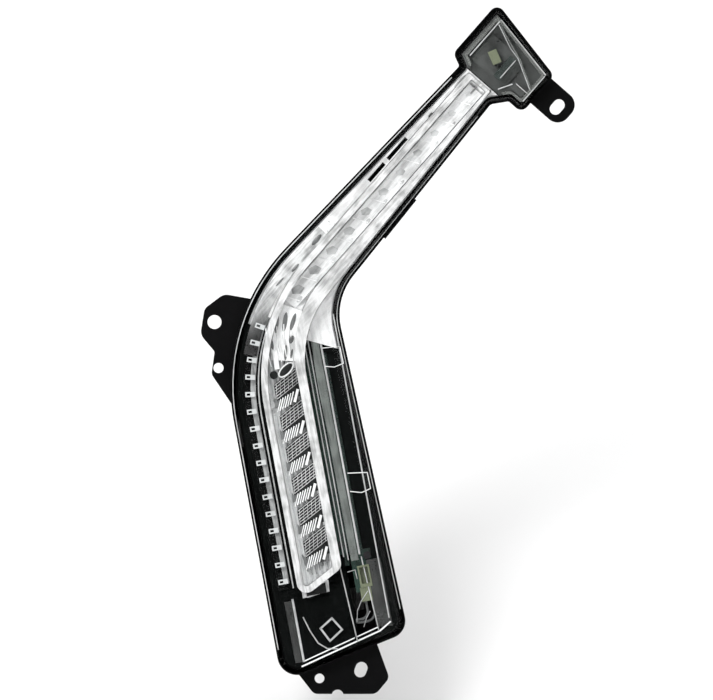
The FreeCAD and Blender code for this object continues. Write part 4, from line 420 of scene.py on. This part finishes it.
def pickFaces(piece, test):
    bpy.ops.object.mode_set(mode="EDIT")
    bpy.ops.mesh.select_mode(type="FACE")
    bpy.ops.mesh.select_all(action="DESELECT")
    mesh = bmesh.from_edit_mesh(piece.data)
    for face in mesh.faces:
        face.select_set(test(face.calc_center_median(), face.normal))
    bmesh.update_edit_mesh(piece.data)


def pickEdges(piece, test):
    bpy.ops.object.mode_set(mode="EDIT")
    bpy.ops.mesh.select_mode(type="EDGE")
    bpy.ops.mesh.select_all(action="DESELECT")
    mesh = bmesh.from_edit_mesh(piece.data)
    for edge in mesh.edges:
        a, b = edge.verts[0].co, edge.verts[1].co
        edge.select_set(test((a + b) / 2, b - a))
    bmesh.update_edit_mesh(piece.data)


def layDown(piece, place, turn):
    # turned and moved on the bench, with its place in its mesh
    piece.rotation_euler = (0, 0, math.radians(turn))
    piece.location = place
    bpy.ops.object.transform_apply(location=True, rotation=True, scale=False)


def addBar(name, size, place=(0, 0, 0), turn=0.0, rounding=0.1):
    # straight bar on the bench with the edges of its top rounded
    bpy.ops.object.select_all(action="DESELECT")
    bpy.ops.mesh.primitive_cube_add(size=1, location=(0, 0, 0))
    piece = bpy.context.object
    piece.name = name
    bpy.ops.transform.resize(value=size)
    bpy.ops.object.transform_apply(location=False, rotation=False, scale=True)
    pickEdges(piece, lambda mid, way: mid.z > 0)
    bpy.ops.mesh.bevel(offset=rounding, segments=2, affect="EDGES")
    bpy.ops.object.mode_set(mode="OBJECT")
    layDown(piece, place, turn)
    return piece


def bendBar(name, path, width, height, level, rounding, cutEvery=3.0):
    # bar as long as the path, subdivided and bent along it
    length = sum((b - a).length for a, b in zip(path, path[1:]))
    bpy.ops.curve.primitive_nurbs_path_add(location=(0, 0, 0))
    guide = bpy.context.object
    guide.data.dimensions = "2D"
    guide.data.splines.clear()
    line = guide.data.splines.new("POLY")
    line.points.add(len(path) - 1)
    for point, spot in zip(line.points, path):
        point.co = (spot.x, spot.y, 0, 1)
    piece = addBar(name, (length, width, height), (length / 2, 0, 0), 0, rounding)
    pickEdges(piece, lambda mid, way: abs(way.x) > length * 0.5)
    bpy.ops.mesh.subdivide(number_cuts=max(8, int(length / cutEvery)))
    bpy.ops.object.mode_set(mode="OBJECT")
    bend = piece.modifiers.new("bend", "CURVE")
    bend.object = guide
    bpy.ops.object.modifier_apply(modifier=bend.name)
    bpy.data.objects.remove(guide)
    selectOnly(piece)
    layDown(piece, (0, 0, level + height / 2), 0)
    return piece


def joinPieces(name, pieces):
    bpy.ops.object.select_all(action="DESELECT")
    for piece in pieces:
        piece.select_set(True)
    bpy.context.view_layer.objects.active = pieces[0]
    if len(pieces) > 1:
        bpy.ops.object.join()
    pieces[0].name = name
    return pieces[0]


def addStroke(name, spots, width, height, level):
    # raised line through the given spots, one rounded bar for each stretch, a little longer than it
    bars = []
    for a, b in zip(spots, spots[1:]):
        way = b - a
        middle = (a + b) / 2
        place = (middle.x, middle.y, level + height / 2)
        turn = math.degrees(math.atan2(way.y, way.x))
        bars.append(addBar(name, (way.length + width * 0.8, width, height), place, turn, width * 0.2))
    return joinPieces(name, bars)


def addStrokes(name, spotOf, rows, height, level):
    # one piece of several strokes; a row is a width and the spots on the leg or arm
    return joinPieces(name, [addStroke("stroke", [spotOf(*spot) for spot in spots], width, height, level)
                             for width, spots in rows])


def addLeaf(name, spot, size, turn, height, level, points=14):
    # flat rounded leaf with a domed edge
    bpy.ops.object.select_all(action="DESELECT")
    bpy.ops.mesh.primitive_cylinder_add(vertices=points, radius=0.5, depth=1, location=(0, 0, 0))
    piece = bpy.context.object
    piece.name = name
    bpy.ops.transform.resize(value=(size[0], size[1], height))
    bpy.ops.object.transform_apply(location=False, rotation=False, scale=True)
    pickEdges(piece, lambda mid, way: mid.z > height * 0.4)
    bpy.ops.mesh.bevel(offset=min(height, min(size) * 0.3) * 0.7, segments=2, affect="EDGES")
    bpy.ops.object.mode_set(mode="OBJECT")
    layDown(piece, (spot.x, spot.y, level + height / 2), turn)
    return piece


def leanBox(name, size, lean):
    # rounded plate whose right end is lifted, so that it leans up to the right
    piece = addBar(name, size, rounding=size[2] * 0.4)
    pickFaces(piece, lambda mid, normal: normal.x > 0.7)
    bpy.ops.transform.translate(value=(0, size[0] * math.tan(math.radians(lean)), 0))
    bpy.ops.object.mode_set(mode="OBJECT")
    return piece


def copyTo(piece, name, spot, turn, level):
    # a copy with its own mesh, set down at its place on the bench
    twin = piece.copy()
    twin.data = piece.data.copy()
    twin.name = name
    scene.collection.objects.link(twin)
    selectOnly(twin)
    layDown(twin, (spot.x, spot.y, level), turn)
    return twin


# Finishes of the fine pieces; lineGrey and lineBright also colour the painted highlights along edges and
# in the leg's cells
lineGrey = mouldedPlastic("lineGrey", (0.42, 0.43, 0.43), 0.2, 0.35, scale=300)
lineBright = mouldedPlastic("lineBright", (0.86, 0.87, 0.87), 0.2, 0.15, scale=300)
lineDim = mouldedPlastic("lineDim", (0.13, 0.135, 0.135), 0.3, 0.4, scale=300)
stripGrey = drawnOut(mouldedPlastic("stripGrey", (0.36, 0.37, 0.37), 0.3), 0.45, 900)
blendGrey = drawnOut(mouldedPlastic("blendGrey", (0.66, 0.67, 0.67), 0.3), 0.36, 900)
leafPale = drawnOut(mouldedPlastic("leafPale", (0.66, 0.67, 0.67), 0.25), 0.50, 420)
leafMid = drawnOut(mouldedPlastic("leafMid", (0.58, 0.59, 0.59), 0.25), 0.36, 420)
leafGrey = drawnOut(mouldedPlastic("leafGrey", (0.17, 0.175, 0.175), 0.25), 0.22, 420)
lensPale = drawnOut(mouldedPlastic("lensPale", (0.90, 0.91, 0.91), 0.25, scale=300), 0.58, 700)
screenDark = mouldedPlastic("screenDark", (0.010, 0.011, 0.011), 0.5, 0.5, scale=500, shine=0.2)
screenLine = mouldedPlastic("screenLine", (0.50, 0.51, 0.51), 0.2, 0.6, scale=500)
coverGrey = drawnOut(mouldedPlastic("coverGrey", (0.028, 0.030, 0.029), 0.3), 0.40, 300)
beamGrey = drawnOut(mouldedPlastic("beamGrey", (0.155, 0.172, 0.162), 0.3), 0.55, 700)

# Bright lines that run along the flange, the strip and the rails; the three on the flange are painted
# highlights of the lens's edges. A run is its offset and lean on the leg and on the arm, the radius
# of the arc between them, and its reach down and up.
edgeLines = {
    "height": 0.25, "rounding": 0.08,
    "lines": {
        "flangeLeft": {"run": ((-29.2, 0), (-17.6, -2.5), 98.8, 166, 146), "width": 0.5, "level": 10.5},
        "innerLeft": {"run": ((-25.2, 0), (-13.8, -2.5), 94.8, 163, 146), "width": 0.4, "level": 9.3},
        "flangeRight": {"run": ((29.0, 2), (17.4, 2.5), 32.4, 158, 140), "width": 0.4, "level": 10.5},
        "stripBand": {"run": ((-19.0, 0), (-8.0, -2.5), 88.6, 134, 30), "width": 2.6, "level": 11.1},
        "stripLine": {"run": ((-16.2, 0), (-5.8, -2.5), 85.8, 137, 30), "width": 0.7, "level": 10.8},
    },
}
for name, row in edgeLines["lines"].items():
    line = bendBar(name, bentPath(*row["run"]), row["width"], edgeLines["height"], row["level"],
                   edgeLines["rounding"])
    standUp(line, stripGrey if name == "stripBand" else lineGrey)

kneeBlend = {
    "run": ((-21.4, 0), (-10.8, -2.5), 91.0, 22, 46), "width": 6.6, "level": 12.1,
    "height": 0.3, "rounding": 0.12,
    "fade": (-10.0, 20.0), "least": 0.03,       # heights where the band is darkest and full
}
blend = bendBar("kneeBlend", bentPath(*kneeBlend["run"]), kneeBlend["width"], kneeBlend["height"],
                kneeBlend["level"], kneeBlend["rounding"])
fadeDown(blendGrey, *kneeBlend["fade"], kneeBlend["least"])
standUp(blend, blendGrey)
print("edge lines ready")


def evenly(span, inset, count):
    return [-span / 2 + inset + i * (span - 2 * inset) / (count - 1) for i in range(count)]


# Hatched screens, pickets and wedges of the leg's six cells; the pickets are painted highlights,
# bright streaks on the cells' flutes. A spot is across and down in its cell
legCell = {
    "first": 36.3, "pitch": 16.0, "count": 6, "level": 13.3,
    "screen": (12.6, 8.2, 0.5), "screenLean": 28.0, "screenSpot": (-1.1, 3.0), "screenLift": 0.25,
    "line": {"count": 6, "inset": 0.6, "width": 0.34, "height": 0.25, "lift": 0.1, "rounding": 0.08},
    "cross": {"count": 6, "inset": 0.8, "width": 0.22, "height": 0.2, "lift": 0.08, "rounding": 0.05,
              "turn": -8, "share": 0.86},       # share of the screen's height
    "pickets": [(-5.2, 0.45), (-3.9, 0.6), (-2.5, 0.45), (-1.1, 0.6), (0.3, 0.45), (1.7, 0.6),
                (4.1, 1.4)],                    # across and width
    "picketLength": 6.8, "picketHeight": 0.7, "picketTurn": -24.0, "picketLean": 20.0,
    "picketSpot": (-1.4, 7.8), "picketLift": 0.2,
    "backing": (11.6, 5.8, 0.4), "backingLift": 0.1,
    "wedge": (3.6, 7.0), "wedgeTurn": 14, "wedgeHeight": 0.6, "wedgeSpot": (-7.6, 8.8), "wedgeLift": 0.2,
}
screen = leanBox("screenPlate", legCell["screen"], legCell["screenLean"])
screenWide, screenTall, screenThick = legCell["screen"]
lean = math.radians(legCell["screenLean"])
line, cross = legCell["line"], legCell["cross"]
hatch = []
for y in evenly(screenTall, line["inset"], line["count"]):
    place = (0, y + screenWide / 2 * math.tan(lean), screenThick / 2 + line["lift"])
    size = (screenWide / math.cos(lean) - line["inset"], line["width"], line["height"])
    hatch.append(addBar("hatchLine", size, place, legCell["screenLean"], line["rounding"]))
for x in evenly(screenWide, cross["inset"], cross["count"]):
    place = (x, (x + screenWide / 2) * math.tan(lean), screenThick / 2 + cross["lift"])
    size = (cross["width"], screenTall * cross["share"], cross["height"])
    hatch.append(addBar("crossLine", size, place, cross["turn"], cross["rounding"]))
hatch = joinPieces("hatchLines", hatch)
# pickets: bright bars of painted highlight, streaks on each cell's flutes
pickets = []
for x, width in legCell["pickets"]:
    place = (x, x * math.tan(math.radians(legCell["picketLean"])), legCell["picketHeight"] / 2)
    size = (width, legCell["picketLength"], legCell["picketHeight"])
    pickets.append(addBar("picket", size, place, legCell["picketTurn"], width * 0.25))
pickets = joinPieces("pickets", pickets)
backing = leanBox("picketBacking", legCell["backing"], legCell["picketLean"])
wedge = addLeaf("wedge", Vector((0, 0, 0)), legCell["wedge"], legCell["wedgeTurn"],
                legCell["wedgeHeight"], 0, points=3)
legPieces = {
    "legScreens": (screen, legCell["screenSpot"], legCell["screenLift"], screenDark),
    "legHatch": (hatch, legCell["screenSpot"], legCell["screenLift"], screenLine),
    "legPicketBacks": (backing, legCell["picketSpot"], legCell["backingLift"], leafGrey),
    "legPickets": (pickets, legCell["picketSpot"], legCell["picketLift"], lineBright),
    "legWedges": (wedge, legCell["wedgeSpot"], legCell["wedgeLift"], lineDim),
}
for name, (model, (across, below), lift, material) in legPieces.items():
    copies = []
    for i in range(legCell["count"]):
        spot = legSpot(across, legCell["first"] + i * legCell["pitch"] + below)
        copies.append(copyTo(model, "copy", spot, lamp["legTurn"], legCell["level"] + lift))
    bpy.data.objects.remove(model)
    standUp(joinPieces(name, copies), material)
print("leg cells ready")

# Lenslets over the arm's lights, with the grey leaf and cup seen in each
armCell = {
    "first": 15.6, "pitch": 13.0, "count": 11, "level": 11.5,
    "shrink": 0.5, "midLeaves": 5,      # they get smaller up the arm, and the lowest leaves are darker
    "bar": {"across": 1.7, "from": 8.0, "to": 150.0, "width": 8.6, "height": 0.6, "lift": 0.3,
            "rounding": 0.25},
    "leaf": {"across": 0.7, "up": 0.4, "size": (5.0, 7.4), "turn": -34.0, "height": 0.35, "lift": 0.55},
    "cup": {"across": 4.6, "up": -2.6, "size": (2.4, 4.0), "turn": 0.0, "height": 0.4, "lift": 0.3},
    "glint": {"ends": [(-2.1, -6.4), (4.9, -3.2)], "width": 0.6, "height": 0.4, "lift": 0.5},
    "marks": [(-6.9, 125.5, 1.4, 3.0), (-4.2, 126.0, 1.2, 1.6), (-3.9, 121.0, 1.0, 3.4),
              (-6.6, 148.0, 1.8, 9.0), (7.6, 142.0, 1.4, 8.0), (7.6, 153.0, 1.4, 4.0),
              (1.2, 149.0, 1.0, 5.0), (-7.4, 23.4, 1.6, 5.4), (-8.6, 13.0, 0.9, 6.0),
              (-8.6, 41.0, 2.4, 7.0)],          # across, up, width and length
    "markHeight": 0.4, "markLift": 0.9,
}
armTurn = lamp["armTilt"] - 90
bar = armCell["bar"]
model = addBar("armLensBar", (bar["to"] - bar["from"], bar["width"], bar["height"]),
               rounding=bar["rounding"])
lensBar = copyTo(model, "armLensBar", armSpot(bar["across"], (bar["from"] + bar["to"]) / 2),
                 lamp["armTilt"], armCell["level"] + bar["lift"])
bpy.data.objects.remove(model)
standUp(lensBar, lensPale)
marks = [addLeaf("mark", armSpot(across, up), (width, length), armTurn, armCell["markHeight"],
                 armCell["level"] + armCell["markLift"])
         for across, up, width, length in armCell["marks"]]
standUp(joinPieces("armMarks", marks), leafGrey)


def cellLeaf(name, row, i, points):
    # leaf or cup of the arm's cell i
    spot = armSpot(row["across"], armCell["first"] + i * armCell["pitch"] + row["up"])
    share = 1.0 - armCell["shrink"] * i / armCell["count"]
    size = (row["size"][0] * share, row["size"][1] * share)
    return addLeaf(name, spot, size, armTurn + row["turn"], row["height"],
                   armCell["level"] + row["lift"], points)


midLeaves, paleLeaves, cups, glints = [], [], [], []
glint = armCell["glint"]
for i in range(armCell["count"]):
    leaves = midLeaves if i < armCell["midLeaves"] else paleLeaves
    leaves.append(cellLeaf("leaf", armCell["leaf"], i, 5))
    cups.append(cellLeaf("cup", armCell["cup"], i, 14))
    ends = [armSpot(across, armCell["first"] + i * armCell["pitch"] + up)
            for across, up in glint["ends"]]
    glints.append(addStroke("glint", ends, glint["width"], glint["height"],
                            armCell["level"] + glint["lift"]))
standUp(joinPieces("armLeaves", midLeaves), leafMid)
standUp(joinPieces("armPaleLeaves", paleLeaves), leafPale)
standUp(joinPieces("armCups", cups), leafPale)
standUp(joinPieces("armGlints", glints), lineBright)
print("arm cells ready")

# Base, leaves, flutes and ring of the knee optic. Shades and leaves: across, down, width, length, turn
knee = {
    "level": 13.4,
    "base": {"run": ((-1.9, 0), (1.8, 0), 70.0, 27, 12), "width": 12.4, "height": 0.4, "drop": 0.5,
             "rounding": 0.15},
    "leafHeight": 0.5, "shadeDrop": 0.2, "leafDrop": 0.3,
    "shades": [(0.0, 29.0, 8.6, 3.8, 35), (-6.5, 30.5, 4.2, 4.2, 0)],
    "leaves": [(-0.4, 4.8, 2.4, 11.0, -14), (3.8, 5.4, 2.4, 10.0, -19), (7.8, 6.0, 2.2, 9.0, -27),
               (5.4, 14.6, 2.4, 4.4, -30), (1.4, 20.5, 1.6, 8.0, -14), (-4.6, 15.0, 1.6, 6.0, 0),
               (4.2, 21.6, 1.2, 5.0, -20)],
    "flutes": [
        (2.6, [(-4.2, 27.0), (-4.0, 19.2)]), (0.5, [(-7.0, 26.0), (-7.4, 17.0), (-6.2, 7.0)]),
        (0.5, [(-1.4, 24.4), (-2.0, 17.0), (-0.6, 7.0)]), (0.5, [(1.4, 22.4), (1.4, 16.0), (3.0, 6.4)]),
        (0.5, [(3.4, 21.6), (3.8, 14.4), (6.0, 6.4)]),
    ],
    "fluteHeight": 0.7,
    "ring": {"across": 0.0, "down": 29.0, "half": (4.6, 2.1), "turn": 35, "width": 0.7, "height": 0.5,
             "lift": 0.4, "corners": 24},
}
base = knee["base"]
standUp(bendBar("kneeBase", bentPath(*base["run"]), base["width"], base["height"],
                knee["level"] - base["drop"], base["rounding"]), lensPale)


def kneeLeaves(name, rows, drop):
    return joinPieces(name, [addLeaf("leaf", legSpot(across, down), (width, length),
                                     lamp["legTurn"] + turn, knee["leafHeight"], knee["level"] - drop)
                             for across, down, width, length, turn in rows])


standUp(kneeLeaves("kneeShades", knee["shades"], knee["shadeDrop"]), screenDark)
standUp(kneeLeaves("kneeLeaves", knee["leaves"], knee["leafDrop"]), leafGrey)
flutes = addStrokes("kneeFlutes", legSpot, knee["flutes"], knee["fluteHeight"], knee["level"])
standUp(flutes, lineBright)
ring = knee["ring"]
lean = math.radians(ring["turn"])
spots = []
for i in range(ring["corners"] + 1):
    angle = math.radians(360 / ring["corners"] * i)
    u, v = ring["half"][0] * math.cos(angle), ring["half"][1] * math.sin(angle)
    spots.append(legSpot(ring["across"] + u * math.cos(lean) - v * math.sin(lean),
                         ring["down"] - u * math.sin(lean) - v * math.cos(lean)))
standUp(addStroke("kneeRing", spots, ring["width"], ring["height"], knee["level"] + ring["lift"]),
        lineBright)
print("knee ready")

# Grey plates that stand for the clear moulding over the panel, and a dark plate of painted shade
# at the foot's tab: across, down, width, length, lean, level and finish
panelPlates = {
    "footCover": (25.6, 146.6, 7.4, 34.0, -6, 9.8, coverGrey),
    "footWall": (-20.2, 158.6, 3.6, 31.0, 0, 9.8, coverGrey),
    "sideFilm": (16.6, 70.0, 3.8, 118.0, 0, 10.3, beamGrey),
    "footTabShade": (-5.2, 140.2, 10.2, 4.4, 5, 12.0, screenDark),
}
plateThick = 0.4
for name, (across, down, width, length, lean, level, material) in panelPlates.items():
    model = leanBox("plate", (width, length, plateThick), lean)
    plate = copyTo(model, name, legSpot(across, down), lamp["legTurn"], level)
    bpy.data.objects.remove(model)
    standUp(plate, material)
kneeBeam = {"spot": (16.4, 41.0), "size": (4.4, 54.0), "height": 0.4, "level": 11.0, "points": 24}
beam = addLeaf("kneeBeam", legSpot(*kneeBeam["spot"]), kneeBeam["size"], lamp["legTurn"],
               kneeBeam["height"], kneeBeam["level"], kneeBeam["points"])
standUp(beam, beamGrey)

# Lines of the dark panel, its tabs and mark: finish, slot, height and level of each piece,
# then its strokes, each a width and its spots as (across, down) on the leg
panelLines = {
    # the bright lines are painted highlights along the lens foot's lower edge and the outlines of the
    # tabs and clips
    "brightPanelLines": (lineBright, "trim_black", 0.5, 9.6, [
        (0.8, [(-19.0, 176.3), (22.5, 165.8), (28.4, 162.3)]), (0.6, [(-17.0, 173.8), (21.6, 163.9)]),
        (0.4, [(20.0, 21.6), (28.6, 22.4), (28.8, 31.0), (24.0, 32.0), (19.6, 30.8)]),
        (0.4, [(21.0, 85.4), (30.6, 86.8), (30.8, 95.0), (26.0, 96.2), (20.6, 94.6)]),
        (0.5, [(-12.5, 137.0), (-12.0, 141.8), (-10.0, 142.8), (1.0, 141.3), (1.5, 136.3)]),
    ]),
    "dimPanelLines": (lineGrey, "trim_black", 0.5, 9.6, [
        (0.6, [(-14.0, 152.3), (-12.0, 159.3), (-9.0, 166.3), (-5.0, 169.8), (0.0, 170.8)]),
        (1.2, [(-17.7, 142.8), (-17.7, 173.8)]), (1.0, [(19.4, 12.0), (19.4, 126.0)]),
        (0.6, [(11.4, 8.0), (11.4, 126.0)]), (0.6, [(13.4, 10.0), (13.4, 128.0)]),
        (0.7, [(28.2, 6.0), (28.2, 160.0)]), (0.6, [(20.0, 127.8), (22.0, 165.8)]),
        (0.4, [(12.0, 134.0), (15.8, 133.6), (16.0, 138.2)]),
        (0.35, [(20.0, 145.3), (16.0, 149.5), (13.2, 154.0), (12.0, 159.4)]),
        (0.35, [(19.4, 155.3), (17.0, 158.4), (15.0, 162.4)]),
    ]),
    "squareMark": (lineGrey, "trim_black", 0.4, 10.7, [
        (1.0, [(-6.5, 159.3), (0.0, 155.3), (4.0, 161.8), (-3.0, 166.3), (-6.5, 159.3)]),
    ]),
    "footLine": (lineGrey, "trim_black", 0.4, 11.2, [(0.6, [(8.6, 130.0), (10.5, 168.8)])]),
    "footFan": (leafGrey, "bright_metal", 0.4, 13.4, [
        (0.6, [(-8.8, 121.5), (-7.4, 130.0)]), (0.6, [(-6.4, 123.0), (-5.6, 132.0)]),
        (0.6, [(-4.0, 123.6), (-3.4, 132.0)]), (0.6, [(-1.6, 123.0), (-1.4, 130.4)]),
        (0.6, [(0.8, 122.0), (0.6, 128.4)]),
    ]),
}
for name, (material, slotName, height, level, rows) in panelLines.items():
    standUp(addStrokes(name, legSpot, rows, height, level), material)
print("panel lines ready")

# Lines and blotches in the head, painted highlights along the clear frame's edges: widths, and spots as
# (across, up) on the arm
headHighlightLines = {
    "height": 0.35, "level": 13.6,
    "strokes": [
        (0.7, [(-11.3, 184.4), (23.2, 178.4)]), (0.6, [(-11.6, 183.8), (-11.6, 161.0)]),
        (0.6, [(23.4, 177.4), (23.4, 161.2)]),
        (0.4, [(-10.8, 181.9), (1.2, 176.9), (7.7, 175.4), (22.6, 167.4)]),
        (0.4, [(15.2, 165.4), (22.4, 165.4)]), (0.5, [(7.2, 173.9), (7.2, 162.4)]),
        (0.6, [(13.7, 163.9), (10.2, 157.6)]),
    ],
}
standUp(addStrokes("headHighlightLines", armSpot, headHighlightLines["strokes"], headHighlightLines["height"], headHighlightLines["level"]),
        lineGrey)
print("head lines ready")

# Floor sheet: level under the foot, rising behind the lamp
floor = {
    "middle": 70.0, "half": 2500.0, "level": -190.0,
    "edge": 45.0, "rise": 0.8, "bend": 30.0,    # starts to rise behind this edge, softly at first
    "cuts": 100,                                # the most that one call makes; a second call halves them
    "white": (0.86, 0.90), "clouds": 3, "roughness": 0.9,
}
bpy.ops.object.select_all(action="DESELECT")
bpy.ops.mesh.primitive_plane_add(size=2, location=(floor["middle"] * mm, 0, 0))
sheet = bpy.context.object
sheet.name = "floorSheet"
bpy.ops.transform.resize(value=(floor["half"] * mm, floor["half"] * mm, 1))
bpy.ops.object.transform_apply(location=True, rotation=False, scale=True)
bpy.ops.object.mode_set(mode="EDIT")
bpy.ops.mesh.select_all(action="SELECT")
bpy.ops.mesh.subdivide(number_cuts=floor["cuts"])
bpy.ops.mesh.subdivide(number_cuts=1)
bpy.ops.object.mode_set(mode="OBJECT")
for vertex in sheet.data.vertices:
    back = max(0.0, vertex.co.y - floor["edge"] * mm)
    soft = back * back / (back + floor["bend"] * mm)
    vertex.co.z = floor["level"] * mm + floor["rise"] * soft
bpy.ops.object.shade_smooth()
sheetWhite, tree, shader = newMaterial("sheetWhite")
shader.inputs["Roughness"].default_value = floor["roughness"]
feed(tree, shader.inputs["Base Color"],
     rangeOf(tree, noiseOf(tree, floor["clouds"]), 0.0, 1.0, *floor["white"]))
through = tree.nodes.new("ShaderNodeBsdfTransparent")
underside = tree.nodes.new("ShaderNodeNewGeometry").outputs["Backfacing"]
mix = mixOf(tree, underside, shader.outputs["BSDF"], through.outputs["BSDF"])
feed(tree, tree.nodes["Material Output"].inputs["Surface"], mix.outputs["Shader"])
sheet.data.materials.append(sheetWhite)
print("floor ready")
